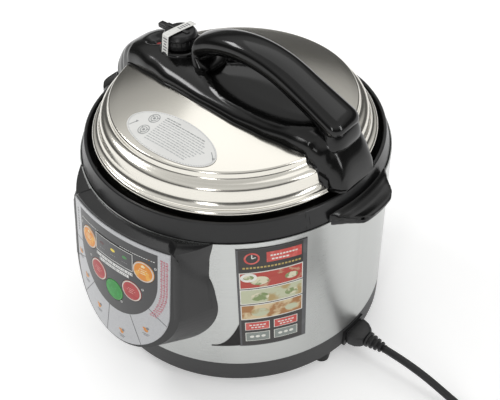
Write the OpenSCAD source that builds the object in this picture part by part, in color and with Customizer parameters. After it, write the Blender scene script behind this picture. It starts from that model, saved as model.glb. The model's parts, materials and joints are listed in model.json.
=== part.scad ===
// Electric pressure cooker with a turning lid, a lift-out pot and a detachable mains lead.
// Origin: pot axis at the surface the feet stand on. +Z up, control panel towards -Y.

/* [Pot] */
// Outer diameter of the lift-out pot
pot_d = 220; // [190:2:270]
// Height of the lift-out pot
pot_h = 135; // [110:1:170]
// Wall of the lift-out pot
pot_wall = 1.5; // [1:0.1:2.5]
// Rim overhang of the lift-out pot
pot_rim = 4.5; // [3.5:0.1:6]
// Height of the heating plate's top above the floor
plate_top = 52; // [50:1:60]

/* [Body] */
// Height of the rubber feet
foot_h = 12; // [8:0.5:18]
// Radius of a foot at its top
foot_r = 9; // [7:0.5:11]
// Height of the base ring
base_h = 24; // [20:1:30]
// Plastic wall
wall = 2.5; // [2:0.1:3.5]
// Sheet thickness of the outer sleeve
sleeve_wall = 0.8; // [0.6:0.1:1.2]
// Height of the visible collar band
collar_h = 16; // [14:0.5:22]
// Set-back of the collar's lower edge from the sleeve
collar_inset = 1.5; // [0.8:0.1:2]
// Inward lean of the collar band over its height
collar_lean = 4; // [2:0.5:5]
// Thickness of the collar's top lip
collar_lip = 3; // [2.5:0.1:4]

/* [Side handles] */
// Reach of a side handle beyond the sleeve
ear_reach = 18; // [14:1:26]
// Width of a side handle at its root
ear_w = 62; // [50:1:74]
// Thickness of the upper shell of a side handle
ear_top_t = 6; // [5:0.5:8]
// Thickness of the lower shell of a side handle
ear_low_t = 8; // [6:0.5:10]

/* [Lid] */
// Sheet thickness of the lid
lid_wall = 1.2; // [1:0.1:1.6]
// Radius of the rolled bead on the lid rim
bead_r = 3.2; // [2.8:0.1:3.6]
// Height of the lid's dome above its edge
dome_rise = 12; // [8:0.5:16]
// Number of bayonet teeth
teeth = 8; // [6:1:8]
// Travel of the lid between open and locked, degrees
lock_turn = 22; // [15:1:22]

/* [Bridge and grip] */
// Half-width of the bridge at the middle
bridge_half_w = 43; // [38:1:48]
// Half-width of the bridge at its ends
bridge_half_end = 25; // [22:1:28]
// Height of the bridge's plateau above the dome's centre
bridge_rise = 10; // [10:0.5:14]
// Width of the grip
grip_w = 30; // [26:1:36]
// Thickness of the grip
grip_t = 20; // [17:0.5:22]
// Radius of the grip's arch, on its centre line
grip_arch_r = 104; // [100:1:108]
// Radius of the steam valve knob
knob_r = 15; // [13:0.5:17]

/* [Control panel] */
// Width of the panel's face
panel_w = 112; // [100:1:124]
// Height of the panel's face
panel_h = 118; // [110:1:124]
// Backward lean of the face, degrees
panel_tilt = 8; // [4:0.5:10]
// Radius of the face's bow, seen from above
panel_bow_r = 164; // [140:2:220]
// Extra half-width of the housing where it meets the sleeve
panel_flare = 24; // [18:1:28]
// Diameter of the round keys
key_d = 20; // [16:0.5:21]
// Travel of a key
key_travel = 1; // [0.6:0.1:1.4]

/* [Lead] */
// Diameter of the mains lead
cord_d = 7; // [6:0.5:8]
// Mid-turn diameter of the stored coil
coil_d = 78; // [70:1:84]
// Layers of the stored coil
coil_layers = 2; // [2:1:3]

/* [Hidden] */

$fn = 96;
fit = 0.3;
gap = 0.4;
eps = 0.01;

// Radial stack, from the pot outwards
pot_r = pot_d / 2;
house_in = pot_r + 2;
house_wall = 1.2;
flange_r = house_in + house_wall + 1.2;
tooth_r = flange_r + 3.6;
skirt_in = tooth_r + 0.8;
skirt_out = skirt_in + lid_wall;
bead_c = skirt_out - 1;
rim_r = bead_c + bead_r;
collar_in = rim_r + 4.3;
collar_top_r = collar_in + collar_lip;
collar_low_r = collar_top_r + collar_lean;
sleeve_r = collar_low_r + collar_inset;
sleeve_in = sleeve_r - sleeve_wall;
base_r = sleeve_in - fit;

// Height stack
base_z = foot_h;
sleeve_z = base_z + base_h;
pot_rim_z = plate_top + pot_h;
flange_z = pot_rim_z - 3.2;
sleeve_top = pot_rim_z - 5;
collar_top = sleeve_top + collar_h;
bead_z = pot_rim_z + 13;
step2_z = bead_z + 4.5;
step1_z = bead_z + 19.5;
dome_z = step1_z + 8.5;
dome_top = dome_z + dome_rise;
dome_r = rim_r - 18;
lug_z = flange_z - 4.2;
plate_z = bead_z - 1.5;

// Bridge and grip
bridge_top = dome_top + bridge_rise;
bridge_bottom = collar_top + 2.6;
bridge_r = collar_top_r + 1.5;
bow_sag = bridge_half_w - bridge_half_end;
bow_r = (bridge_r * bridge_r + bow_sag * bow_sag) / (2 * bow_sag);
recess_depth = bridge_rise - 3;
recess_x = 36;
recess_len = 124;
recess_r = 60;
recess_arc = (pow(recess_len / 2, 2) + pow(recess_depth, 2)) / (2 * recess_depth);
bridge_arch_r = 70;
grip_x = 22;
grip_z = dome_top + 37 - grip_arch_r;
grip_left = 122;
grip_right = 65;
grip_tail = 57;
pillar_half = 15;
bridge_spots = [[-34, -26], [-34, 26], [70, -26], [70, 26]];
valve_x = -58;
float_x = -86;
valve_r = 5;
float_pin_r = 2.6;
float_lift = 4;
knob_h = 13;
knob_seat = bridge_top + 3;

// Control panel, in its own frame: x across, y up the face, z out of the face
panel_half = panel_w / 2;
panel_top_z = sleeve_top - 3;
panel_len = panel_h / cos(panel_tilt);
panel_y = -sleeve_r - 20;
panel_z = panel_top_z - panel_h / 2;
face_t = 2.5;
overlay_t = 1;
board_depth = 9;
key_r = key_d / 2;
key_proud = 0.3;
key_spots = [[-31.5, 32], [31.5, 32], [-19.5, 6], [19.5, 6], [0, -4]];
lamp_pitch = 13;
lamp_y = 37;
window_w = 41;
window_h = 18;
back_rise = 4;
board_w = 84;
board_low = -16;
board_high = 46;
board_t = 1.6;
board_spots = [[-37, -11], [37, -11], [-37, 41], [37, 41]];

// Depth of the bowed face below its crown at x
function bow(x) = panel_bow_r - sqrt(panel_bow_r * panel_bow_r - x * x);
board_face = bow(board_w / 2) + board_depth + 4;

// Mains lead
inlet_z = 22;
inlet_x = sleeve_r + 1;
inlet_back = base_r - wall - 10;
inlet_hw = 14;
inlet_hh = 9;
conn_hw = 11.6;
conn_hh = 6.8;
conn_len = 18;
relief_len = 19;
cord_r = cord_d / 2;
cord_start = inlet_x + conn_len + relief_len;
coil_x = 300;
coil_r = coil_d / 2;
coil_y = -coil_r - cord_d;
coil_out = coil_r + 1.5 * cord_d;
cord_route = [[cord_start, 0, inlet_z], [186, 0, 21.4], [200, 0, 20], [214, 0, 17.4], [226, 0, 14],
    [238, 0, 10.2], [248, 0, 7.2], [257, 0, 5], [267, 0, 3.8], [280, 0, 3.5]];
plug_x = 288;
plug_y = coil_y - coil_r - cord_d;

// Lid outline: dome points by formula, then the stepped rim
function dome(r) = dome_top - dome_rise * pow(r / dome_r, 2);
function lid_outline() = concat(
    [for (i = [0:8]) let (r = dome_r * i / 8) [r, dome(r)]],
    [[dome_r + 0.9, dome_z - 1.2], [dome_r + 1.2, step1_z + 3], [dome_r + 3.5, step1_z + 1.2],
     [dome_r + 6.6, step1_z], [dome_r + 8.8, step1_z - 2.2], [dome_r + 9.6, step1_z - 5],
     [dome_r + 10.6, step2_z + 3], [dome_r + 12.4, step2_z], [bead_c, bead_z + bead_r - 0.6]]);
function lid_inline() = [for (p = lid_outline()) [max(p[0] - lid_wall * 0.8, 0), p[1] - lid_wall]];
function reversed(a) = [for (i = [len(a) - 1:-1:0]) a[i]];

// A ring of rectangular section
module ring(r_out, r_in, z0, h) {
    translate([0, 0, z0]) difference() {
        cylinder(r = r_out, h = h);
        translate([0, 0, -1]) cylinder(r = r_in, h = h + 2);
    }
}

// A wedge between two polar angles, for cutting rings into segments
module wedge(a0, a1, r, z0, h) {
    steps = 8;
    translate([0, 0, z0]) linear_extrude(h)
        polygon(concat([[0, 0]], [for (i = [0:steps]) let (a = a0 + (a1 - a0) * i / steps)
            [r * cos(a), r * sin(a)]]));
}

// A countersunk screw with its head down at z = 0, shank upwards
module screw(r, length) {
    cylinder(r1 = r * 2, r2 = r, h = r, $fn = 24);
    cylinder(r = r, h = length, $fn = 24);
}

// ---- base ----
foot_angles = [-13, 77, 167, 257];
foot_ring = base_r - foot_r - 0.8;

module feet() {
    color("#222222") for (a = foot_angles) rotate(a) translate([foot_ring, 0, 0]) difference() {
        cylinder(r1 = foot_r - 2, r2 = foot_r, h = foot_h, $fn = 36);
        translate([0, 0, -1]) cylinder(r = 3.6, h = foot_h - 3 + 1, $fn = 24);
        cylinder(r = 1.75, h = foot_h + 1, $fn = 24);
    }
}

module foot_screws() {
    color("silver") for (a = foot_angles) rotate(a) translate([foot_ring, 0, foot_h - 3])
        difference() {
            union() {
                translate([0, 0, -2]) cylinder(r = 3.2, h = 2, $fn = 24);
                translate([0, 0, -eps]) cylinder(r = 1.6, h = 9, $fn = 24);
            }
            translate([-0.5, -2.5, -2.5]) cube([1, 5, 1.2]);
        }
}

module base_ring() {
    rebate = 5;
    color("#3a3a3c") difference() {
        rotate_extrude() polygon([[base_r - wall, base_z], [sleeve_r - 2.2, base_z],
            [sleeve_r - 0.6, base_z + 2], [sleeve_r, sleeve_z], [base_r, sleeve_z],
            [base_r, sleeve_z + rebate], [base_r - wall, sleeve_z + rebate]]);
        translate([base_r - wall - 2, -inlet_hw - gap, inlet_z - inlet_hh - gap])
            cube([12, 2 * (inlet_hw + gap), 2 * (inlet_hh + gap)]);
    }
    // bosses for the bottom cover and the feet
    color("#3a3a3c") for (a = foot_angles) rotate(a) translate([foot_ring, 0, base_z + wall])
        difference() {
            translate([-4.5, -4.5, 0]) cube([base_r - wall - foot_ring + 5.5, 9, 12]);
            translate([0, 0, -1]) cylinder(r = 1.6, h = 14, $fn = 24);
        }
}

module bottom_cover() {
    cover_r = base_r - wall - gap;
    color("#303032") difference() {
        translate([0, 0, base_z]) cylinder(r = cover_r, h = wall);
        for (a = foot_angles) rotate(a) translate([foot_ring, 0, base_z - 1])
            cylinder(r = 1.75, h = wall + 2, $fn = 24);
        for (a = [32, 122, 212, 302]) rotate(a) translate([cover_r - 10, 0, base_z - 1])
            cylinder(r = 1.75, h = wall + 2, $fn = 24);
        for (i = [-4:4]) translate([i * 14 - 2.5, -35, base_z - 1]) cube([5, 70, wall + 2]);
        translate([inlet_back - gap, -inlet_hw - gap, base_z - 1]) cube([40, 2 * (inlet_hw + gap), wall + 2]);
    }
    color("#303032") for (a = [32, 122, 212, 302]) rotate(a)
        ring_at(cover_r - 10, 4, 1.6, base_z + wall - eps, 8);
}

// A short tube standing at x, for screws
module ring_at(x, r_out, r_in, z0, h) {
    translate([x, 0, 0]) difference() {
        translate([0, 0, z0]) cylinder(r = r_out, h = h, $fn = 32);
        translate([0, 0, z0 - 1]) cylinder(r = r_in, h = h + 2, $fn = 24);
    }
}

module cover_screws() {
    cover_r = base_r - wall - gap;
    color("silver") for (a = [32, 122, 212, 302]) rotate(a)
        translate([cover_r - 10, 0, base_z - 1.4]) difference() {
            union() {
                cylinder(r = 3, h = 1.4, $fn = 24);
                cylinder(r = 1.6, h = 9, $fn = 24);
            }
            translate([-0.5, -2.2, -0.5]) cube([1, 4.4, 1]);
        }
}

// ---- body ----
module outer_sleeve() {
    color("#c9c9c6") difference() {
        ring(sleeve_r, sleeve_in, sleeve_z, sleeve_top - sleeve_z);
        // window behind the control panel, for its board and wiring
        translate([-panel_half + 8, -sleeve_r - 2, panel_z - 30]) cube([panel_w - 16, 40, 82]);
    }
}

module sleeve_label() {
    label_a = 41;
    label_b = 65.3;
    color("#55504a") intersection() {
        ring(sleeve_r + 0.5, sleeve_r, 61, sleeve_top - 66);
        wedge(label_a - 90, label_b - 90, sleeve_r + 20, 60, 130);
    }
}

// Underside of the ledge that carries the pot housing
ledge_z = sleeve_top - 10;

module collar_solid() {
    skirt_t = 2.5;
    ledge = 3;
    rotate_extrude() polygon([
        [collar_low_r - 1.2 - skirt_t, sleeve_top - 12], [collar_low_r - 1.2, sleeve_top - 12],
        [collar_low_r - 1.2, sleeve_top], [collar_low_r, sleeve_top],
        [collar_top_r, collar_top - 0.8], [collar_top_r - 0.8, collar_top],
        [collar_in + 0.6, collar_top], [collar_in, collar_top - 0.6],
        [collar_in, sleeve_top + 1], [flange_r + 1.6, ledge_z + ledge],
        [flange_r + 1.6, ledge_z], [collar_in + 0.4, ledge_z + ledge + 2.5],
        [collar_low_r - 1.2 - skirt_t, sleeve_top - 3]]);
}

// The front part's share of the collar; its ends step to and fro in a zig-zag
seam_a = 24.5;
seam_step = 1.4;

module front_zone(grow) {
    slab = (sleeve_top + collar_h - (sleeve_top - 2)) / 3;
    for (k = [0:2]) {
        a = seam_a + (k == 1 ? -seam_step : 0) - grow;
        z0 = (k == 0) ? sleeve_top - 20 : sleeve_top - 2 + k * slab;
        wedge(180 + a, 360 - a, sleeve_r * 1.3, z0, (k == 0) ? slab + 18 : slab + 1);
    }
}

module collar_front() {
    color("#1c1c1d") intersection() {
        collar_solid();
        front_zone(-0.05);
    }
}

module collar_rear() {
    color("#1c1c1d") difference() {
        collar_solid();
        front_zone(0.05);
    }
}

// ---- side handles, drawn at +X ----
ear_root = collar_low_r + 0.6;
ear_tip = sleeve_r + ear_reach;
ear_mid_z = sleeve_top + 1;

module ear_plan(inset) {
    corner = 9;
    tip_half = ear_w / 2 - 12;
    hull() {
        for (s = [-1, 1]) {
            translate([ear_root - 12, s * (ear_w / 2 - inset - 1)]) circle(r = 1, $fn = 24);
            translate([ear_tip - corner - 12, s * (tip_half + 4)])
                circle(r = corner - inset, $fn = 32);
            translate([ear_tip - corner, s * (tip_half - 6)]) circle(r = corner - inset, $fn = 32);
        }
    }
}

module ear_bore() {
    // cylinders that keep the handle off the collar band and the sleeve
    cylinder(r1 = collar_low_r + fit + 0.4, r2 = collar_low_r + fit - 3.8,
        h = collar_h + 1);
    translate([0, 0, -40]) cylinder(r = sleeve_r + fit, h = 40 + 0.5);
}

module ear_top() {
    color("#141415") difference() {
        intersection() {
            translate([0, 0, ear_mid_z]) linear_extrude(ear_top_t + 8) ear_plan(0);
            rotate_extrude() polygon([[0, ear_mid_z - 1], [ear_tip + 5, ear_mid_z - 1],
                [ear_tip + 5, ear_mid_z + 3], [ear_tip - 6, ear_mid_z + 3.6],
                [sleeve_r, ear_mid_z + 5.5], [sleeve_r - 6, ear_mid_z + 10], [0, ear_mid_z + 10]]);
        }
        translate([0, 0, sleeve_top]) ear_bore();
        translate([sleeve_r + 7, 0, ear_mid_z - 1]) cylinder(r = 1.5, h = 4, $fn = 24);
    }
}

module ear_base() {
    color("#232325") difference() {
        translate([0, 0, ear_mid_z - ear_low_t]) linear_extrude(ear_low_t - 0.2) ear_plan(0.8);
        translate([0, 0, sleeve_top]) ear_bore();
        translate([sleeve_r + 7, 0, ear_mid_z - ear_low_t - 1])
            cylinder(r = 1.7, h = ear_low_t + 2, $fn = 24);
        // hollows either side of the screw
        for (y = [-18, 6]) translate([sleeve_r + 4, y, ear_mid_z - ear_low_t - 1])
            cube([ear_reach - 9, 12, ear_low_t - 2]);
    }
}

module handle_right_top() { ear_top(); }
module handle_right_base() { ear_base(); }
module handle_left_top() { rotate(180) ear_top(); }
module handle_left_base() { rotate(180) ear_base(); }

module handle_screws() {
    color("silver") for (a = [0, 180]) rotate(a)
        translate([sleeve_r + 7, 0, ear_mid_z - ear_low_t - 1.2]) {
            cylinder(r = 2.8, h = 1.2, $fn = 24);
            cylinder(r = 1.45, h = ear_low_t + 3, $fn = 24);
        }
}

// ---- pot housing, pot and heater ----
module pot_housing() {
    floor_z = 38;
    color("#b9bab8") difference() {
        union() {
            translate([0, 0, floor_z]) cylinder(r = house_in + house_wall, h = flange_z - floor_z + 1);
            translate([0, 0, flange_z]) cylinder(r = flange_r, h = 3);
            intersection() {
                translate([0, 0, flange_z]) cylinder(r = tooth_r, h = 3);
                for (i = [0:teeth - 1]) wedge(i * 360 / teeth + lock_turn / 2 + 1,
                    (i + 1) * 360 / teeth - lock_turn / 2 + 1, tooth_r * 1.2, flange_z - 1, 5);
            }
            // flange that hangs the housing on the collar ledge
            translate([0, 0, ledge_z - 1.4]) cylinder(r = flange_r + 8, h = 1.4);
        }
        translate([0, 0, floor_z + house_wall])
            cylinder(r = house_in, h = flange_z - floor_z + 10);
        translate([0, 0, floor_z - 1]) cylinder(r = 76, h = 5);
    }
}

module inner_pot() {
    corner = 14;
    foot = pot_r - corner;
    color("#a9a9a6") rotate_extrude() polygon(concat(
        [[0, plate_top], [foot, plate_top]],
        [for (i = [1:6]) let (a = -90 + 15 * i)
            [foot + corner * cos(a), plate_top + corner + corner * sin(a)]],
        [[pot_r, pot_rim_z + 0.2], [pot_r + pot_rim, pot_rim_z + 0.2],
         [pot_r + pot_rim, pot_rim_z + 1.7], [pot_r - pot_wall, pot_rim_z + 1.7]],
        [for (i = [6:-1:1]) let (a = -90 + 15 * i)
            [foot + (corner - pot_wall) * cos(a), plate_top + corner + (corner - pot_wall) * sin(a)]],
        [[foot, plate_top + pot_wall], [0, plate_top + pot_wall]]));
}

heater_r = 82;
sensor_r = 11;

module heating_plate() {
    color("#8f9192") difference() {
        union() {
            translate([0, 0, plate_top - 7]) cylinder(r = heater_r, h = 7);
            for (a = [0, 120, 240]) rotate(a) translate([70, 0, 39.2 + eps]) {
                cylinder(r = 5, h = plate_top - 7 - 39.2, $fn = 32);
            }
            // ring that rests on the housing floor
            ring(heater_r, heater_r - 5, 39.2, plate_top - 7 - 39.2 + eps);
        }
        translate([0, 0, plate_top - 8]) cylinder(r = sensor_r + 1, h = 10, $fn = 48);
    }
}

module heating_element() {
    tube = 3.6;
    ring_c = 52;
    color("#6f6a63") {
        translate([0, 0, plate_top - 7 - tube]) rotate_extrude(angle = 320, $fn = 72)
            translate([ring_c, 0]) circle(r = tube, $fn = 24);
        for (a = [0, 320]) rotate(a) translate([ring_c, 0, 0])
            translate([0, 0, plate_top - 20]) cylinder(r = 2.4, h = 10, $fn = 24);
    }
}

sensor_seat = 34;

module sensor_cap() {
    color("#c4c4c2") difference() {
        translate([0, 0, plate_top - 9]) cylinder(r = sensor_r, h = 9 - 0.4, $fn = 48);
        translate([0, 0, plate_top - 10]) cylinder(r = sensor_r - 1.2, h = 8, $fn = 48);
    }
}

module sensor_spring() {
    coil_c = 6;
    turns = 4;
    rise = plate_top - 5.6 - sensor_seat - 1.6;
    color("#9a9a98") for (i = [0:turns]) translate([0, 0, sensor_seat + 1.6 + i * rise / turns * 0.98])
        rotate_extrude($fn = 48) translate([coil_c, 0]) circle(r = 0.8, $fn = 16);
    color("#9a9a98") translate([coil_c, 0, sensor_seat + 1.6]) cylinder(r = 0.5, h = rise * 0.98, $fn = 16);
}

module sensor_bracket() {
    color("#8b8d90") difference() {
        union() {
            translate([-40, -7, sensor_seat - 1.2]) cube([80, 14, 1.2]);
            for (s = [-1, 1]) translate([s * 40 - 0.6, -7, sensor_seat - 1.2])
                cube([1.2, 14, plate_top - 7 - sensor_seat + 1.2]);
            translate([0, 0, sensor_seat - eps]) cylinder(r = 4.4, h = 5, $fn = 32);
        }
        translate([0, 0, sensor_seat - 3]) cylinder(r = 2.5, h = 10, $fn = 32);
    }
}

module pressure_switch() {
    color("#c9b48a") {
        translate([-10, 24, 30.4]) cube([20, 12, 7.4]);
        translate([0, 30, 30.4 - 10]) cylinder(r = 2.5, h = 10 + eps, $fn = 24);
        translate([-7, 26, 26]) cube([2, 8, 4.4 + eps]);
        translate([5, 26, 26]) cube([2, 8, 4.4 + eps]);
    }
}

module thermal_fuse() {
    color("#d8d2c4") translate([-8, -30, plate_top - 7 - 2.1]) rotate([0, 90, 0]) {
        cylinder(r = 2, h = 16, $fn = 24);
        translate([0, 0, -8]) cylinder(r = 0.6, h = 32, $fn = 16);
    }
}

board_z = base_z + wall + 6;

module power_board() {
    color("#2f6b3c") {
        translate([-34, -96, board_z]) cube([68, 46, 1.6]);
    }
    color("#26262a") {
        translate([-26, -88, board_z + 1.6 - eps]) cube([18, 16, 12]);
        translate([4, -90, board_z + 1.6 - eps]) cube([24, 20, 9]);
        translate([-14, -62, board_z + 1.6 - eps]) cylinder(r = 5, h = 10, $fn = 32);
    }
}

module board_posts() {
    color("#303032") for (x = [-29, 29], y = [-91, -55]) translate([x, y, base_z + wall])
        cylinder(r = 3, h = 6, $fn = 24);
}

// ---- control panel ----
module on_face() {
    translate([0, panel_y, panel_z]) rotate([-panel_tilt, 0, 0]) rotate([90, 0, 0]) children();
}

// Outline of the face: straight sides above a half circle
module face_outline(inset) {
    r = panel_half - inset;
    low = -panel_len / 2 + panel_half;
    translate([0, low]) circle(r = r);
    translate([-r, low]) square([2 * r, panel_len / 2 - low - inset]);
}

// Everything behind the bowed face, up to "depth" below it
module behind_face(depth) {
    translate([0, 0, -panel_bow_r]) rotate([90, 0, 0])
        cylinder(r = panel_bow_r - depth, h = 400, center = true, $fn = 180);
}

module housing_mass(inset) {
    hull() {
        on_face() linear_extrude(1) face_outline(inset);
        translate([0, -sleeve_r + 34, panel_z]) rotate([90, 0, 0]) linear_extrude(1)
            intersection() {
                translate([0, -10]) circle(r = panel_half + panel_flare - inset);
                translate([-200, -100]) square([400, 100 + panel_h / 2 + back_rise - inset]);
            }
    }
}

module panel_housing() {
    color("#19191a") difference() {
        intersection() {
            housing_mass(0);
            on_face() behind_face(overlay_t);
        }
        translate([0, 0, 20]) cylinder(r = sleeve_r + 0.1, h = sleeve_top + 20);
        difference() {
            intersection() {
                housing_mass(wall);
                on_face() behind_face(overlay_t + face_t);
            }
            on_face() for (p = board_spots) translate([p[0], p[1], -board_face + eps])
                cylinder(r = 3.4, h = board_face, $fn = 32);
        }
        on_face() for (p = board_spots) translate([p[0], p[1], -board_face - 1])
            cylinder(r = 1.3, h = 9, $fn = 24);
        on_face() {
            for (p = key_spots) translate([p[0], p[1], -30]) cylinder(r = key_r + gap, h = 60, $fn = 48);
            for (i = [-1:1]) translate([i * lamp_pitch, lamp_y, -30]) cylinder(r = 3.3, h = 60, $fn = 32);
        }
    }
}

module panel_overlay() {
    margin = 1.6;
    color("#8d9092") on_face() intersection() {
        difference() {
            behind_face(0);
            behind_face(overlay_t - 0.02);
        }
        translate([0, 0, -40]) linear_extrude(60) difference() {
            face_outline(margin);
            for (p = key_spots) translate(p) circle(r = key_r + gap, $fn = 48);
            translate([-window_w / 2, lamp_y - window_h / 2]) square([window_w, window_h]);
        }
    }
}

module display_window() {
    color("#30363a") on_face() intersection() {
        difference() {
            behind_face(0);
            behind_face(overlay_t - 0.02);
        }
        translate([0, lamp_y, -40]) linear_extrude(60)
            square([window_w - 0.2, window_h - 0.2], center = true);
    }
}

module indicator_lights() {
    color("#d8c040") on_face() for (i = [-1:1]) translate([i * lamp_pitch, lamp_y, -board_face])
        cylinder(r = 3, h = board_face - bow(lamp_pitch) - overlay_t - 0.4, $fn = 32);
}

module key_at(i, shade) {
    p = key_spots[i];
    color(shade) on_face() intersection() {
        translate([p[0], p[1], -30]) cylinder(r = key_r, h = 60, $fn = 48);
        difference() {
            behind_face(-key_proud);
            behind_face(overlay_t + 1.2);
        }
    }
}

module key_upper_left() { key_at(0, "#e09030"); }
module key_upper_right() { key_at(1, "#e09030"); }
module key_lower_left() { key_at(2, "#c04040"); }
module key_lower_right() { key_at(3, "#c04040"); }
module key_start() { key_at(4, "#30a040"); }

module control_board() {
    color("#2f6b3c") on_face() translate([0, 0, -board_face - board_t]) linear_extrude(board_t)
        difference() {
            translate([-board_w / 2, board_low]) square([board_w, board_high - board_low]);
            for (p = board_spots) translate(p) circle(r = 1.6, $fn = 24);
        }
}

module board_screws() {
    color("silver") on_face() for (p = board_spots) translate([p[0], p[1], -board_face - board_t - 1.4]) {
        cylinder(r = 2.8, h = 1.4, $fn = 24);
        cylinder(r = 1.25, h = 8, $fn = 24);
    }
}

module tact_switches() {
    color("#303034") on_face() for (p = key_spots) {
        reach = board_face - bow(p[0]) - overlay_t - 1.2 - key_travel - 0.8;
        translate([p[0] - 3, p[1] - 3, -board_face]) cube([6, 6, 3.5]);
        translate([p[0], p[1], -board_face + 3.5 - eps]) cylinder(r = 1.7, h = reach - 3.5, $fn = 24);
    }
}

// ---- mains lead ----
module power_inlet() {
    color("#18181a") difference() {
        translate([inlet_back, -inlet_hw, inlet_z - inlet_hh])
            cube([inlet_x - inlet_back, 2 * inlet_hw, 2 * inlet_hh]);
        translate([inlet_back + 5, -conn_hw - gap, inlet_z - conn_hh - gap])
            cube([40, 2 * (conn_hw + gap), 2 * (conn_hh + gap)]);
    }
    color("silver") for (y = [-7, 0, 7])
        translate([inlet_back - 2, y - 1, inlet_z - (y == 0 ? 0 : 3) - 1.5]) cube([14, 2, 4]);
}

module cord_connector() {
    face_x = base_r - wall + 3;
    color("#1b1b1c") {
        translate([face_x, -conn_hw, inlet_z - conn_hh])
            cube([inlet_x - face_x + 3, 2 * conn_hw, 2 * conn_hh]);
        translate([inlet_x + 3 - eps, 0, inlet_z]) rotate([0, 90, 0]) hull() {
            cube([17, 25, 1], center = true);
            translate([0, 0, conn_len - 2]) cube([13, 17, 1], center = true);
        }
        translate([inlet_x + conn_len, 0, inlet_z]) rotate([0, 90, 0])
            cylinder(r1 = 6, r2 = cord_r, h = relief_len + 1, $fn = 32);
    }
}

// The tube of the lead along its route
function unit(v) = v / norm(v);
function side_dir(i) = let (a = cord_route[max(i - 1, 0)],
    b = cord_route[min(i + 1, len(cord_route) - 1)], t = unit(b - a)) unit(cross([0, 1, 0], t));
sides = 10;

module cord() {
    n = len(cord_route);
    pts = [for (i = [0:n - 1], k = [0:sides - 1]) let (a = 360 * k / sides)
        cord_route[i] + cord_r * (cos(a) * [0, 1, 0] + sin(a) * side_dir(i))];
    skin = [for (i = [0:n - 2], k = [0:sides - 1]) let (j = (k + 1) % sides)
        [i * sides + k, i * sides + j, (i + 1) * sides + j, (i + 1) * sides + k]];
    ends = [[for (k = [sides - 1:-1:0]) k], [for (k = [0:sides - 1]) (n - 1) * sides + k]];
    color("#1b1b1c") polyhedron(pts, concat(skin, ends));
}

module cord_coil() {
    h = cord_d * coil_layers;
    color("#1b1b1c") translate([coil_x, coil_y, 0]) difference() {
        cylinder(r = coil_out, h = h, $fn = 72);
        translate([0, 0, -1]) cylinder(r = coil_r - 1.5 * cord_d, h = h + 2, $fn = 72);
    }
}

module mains_plug() {
    body_l = 34;
    color("#1b1b1c") {
        translate([plug_x - body_l, plug_y, 7]) rotate([0, 90, 0])
            cylinder(r1 = 6.9, r2 = 5, h = body_l, $fn = 32);
        translate([plug_x - body_l - 4, plug_y - 9, 1]) cube([6, 18, 12]);
    }
    color("silver") for (s = [-1, 1]) translate([plug_x - body_l - 23, plug_y + s * 6, 7])
        rotate([0, 90, 0]) cylinder(r = 2, h = 20, $fn = 24);
}

// ---- lid ----
module lid_holes(grow) {
    translate([valve_x, 0, 0]) cylinder(r = valve_r + grow, h = 400, $fn = 32);
    translate([float_x, 0, 0]) cylinder(r = float_pin_r + 1 + grow, h = 400, $fn = 32);
}

module lid_shell() {
    color("#bdbdb9") difference() {
        union() {
            rotate_extrude() polygon(concat(lid_outline(), reversed(lid_inline())));
            rotate_extrude() translate([bead_c, bead_z]) circle(r = bead_r, $fn = 32);
            ring(skirt_out, skirt_in, lug_z, bead_z - lug_z);
            intersection() {
                ring(skirt_in + 0.2, flange_r + 0.6, lug_z, 2.2);
                for (i = [0:teeth - 1]) wedge(i * 360 / teeth - lock_turn / 2 + 3,
                    i * 360 / teeth + lock_turn / 2 - 1, skirt_out * 1.2, lug_z - 1, 5);
            }
        }
        lid_holes(0.2);
        for (p = bridge_spots) translate(p) cylinder(r = 1.6, h = 400, $fn = 24);
    }
}

module lid_gasket() {
    color("#d9d7d0") rotate_extrude() polygon([
        [pot_r - 4, pot_rim_z + 2.2], [flange_r - 0.4, pot_rim_z + 2.2],
        [flange_r - 0.4, plate_z - eps], [pot_r - 9, plate_z - eps], [pot_r - 9, plate_z - 3]]);
}

module gasket_plate() {
    color("#b4b5b3") difference() {
        union() {
            translate([0, 0, plate_z]) cylinder(r = flange_r, h = lid_wall);
            translate([0, 0, plate_z]) cylinder(r = 12, h = 6, $fn = 48);
        }
        lid_holes(0.2);
        translate([0, 0, plate_z - 1]) cylinder(r = 4.3, h = 10, $fn = 48);
    }
}

module lid_nut() {
    color("#cfcfcd") union() {
        translate([0, 0, plate_z - 6]) cylinder(r = 9, h = 6 - 0.3, $fn = 48);
        translate([0, 0, plate_z - 1]) cylinder(r = 4, h = 14, $fn = 48);
    }
}

module anti_block_cap() {
    color("#d0d0ce") translate([valve_x, 0, plate_z - 7]) difference() {
        cylinder(r = 9, h = 7, $fn = 48);
        translate([0, 0, 1]) cylinder(r = 8, h = 7, $fn = 48);
        for (a = [0:45:315]) rotate(a) translate([5, -0.8, 2]) cube([8, 1.6, 4]);
    }
}

// The solid that the lid fills, grown by the seat clearance
module lid_mass() {
    rotate_extrude() translate([0, fit]) polygon(concat([[0, 0]],
        [for (p = lid_outline()) [p[0] + (p[0] > dome_r - 1 ? fit : 0), p[1]]],
        [[rim_r + fit, bead_z + 1], [rim_r + fit, 0]]));
}

// Plan of the bridge: two large arcs back to back
module bridge_plan(inset) {
    intersection() {
        translate([0, bow_r - bridge_half_w + inset]) circle(r = bow_r, $fn = 240);
        translate([0, -bow_r + bridge_half_w - inset]) circle(r = bow_r, $fn = 240);
    }
}

module bridge_profile() {
    rotate_extrude() polygon([[0, bridge_bottom], [bridge_r, bridge_bottom],
        [bridge_r, bridge_bottom + 3], [bridge_r - 2, bridge_bottom + 12],
        [bridge_r - 7, bridge_bottom + 22], [bridge_r - 14, bridge_top - 17],
        [bridge_r - 23, bridge_top - 8], [bridge_r - 36, bridge_top - 2], [bridge_r - 52, bridge_top],
        [0, bridge_top]]);
}

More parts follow.
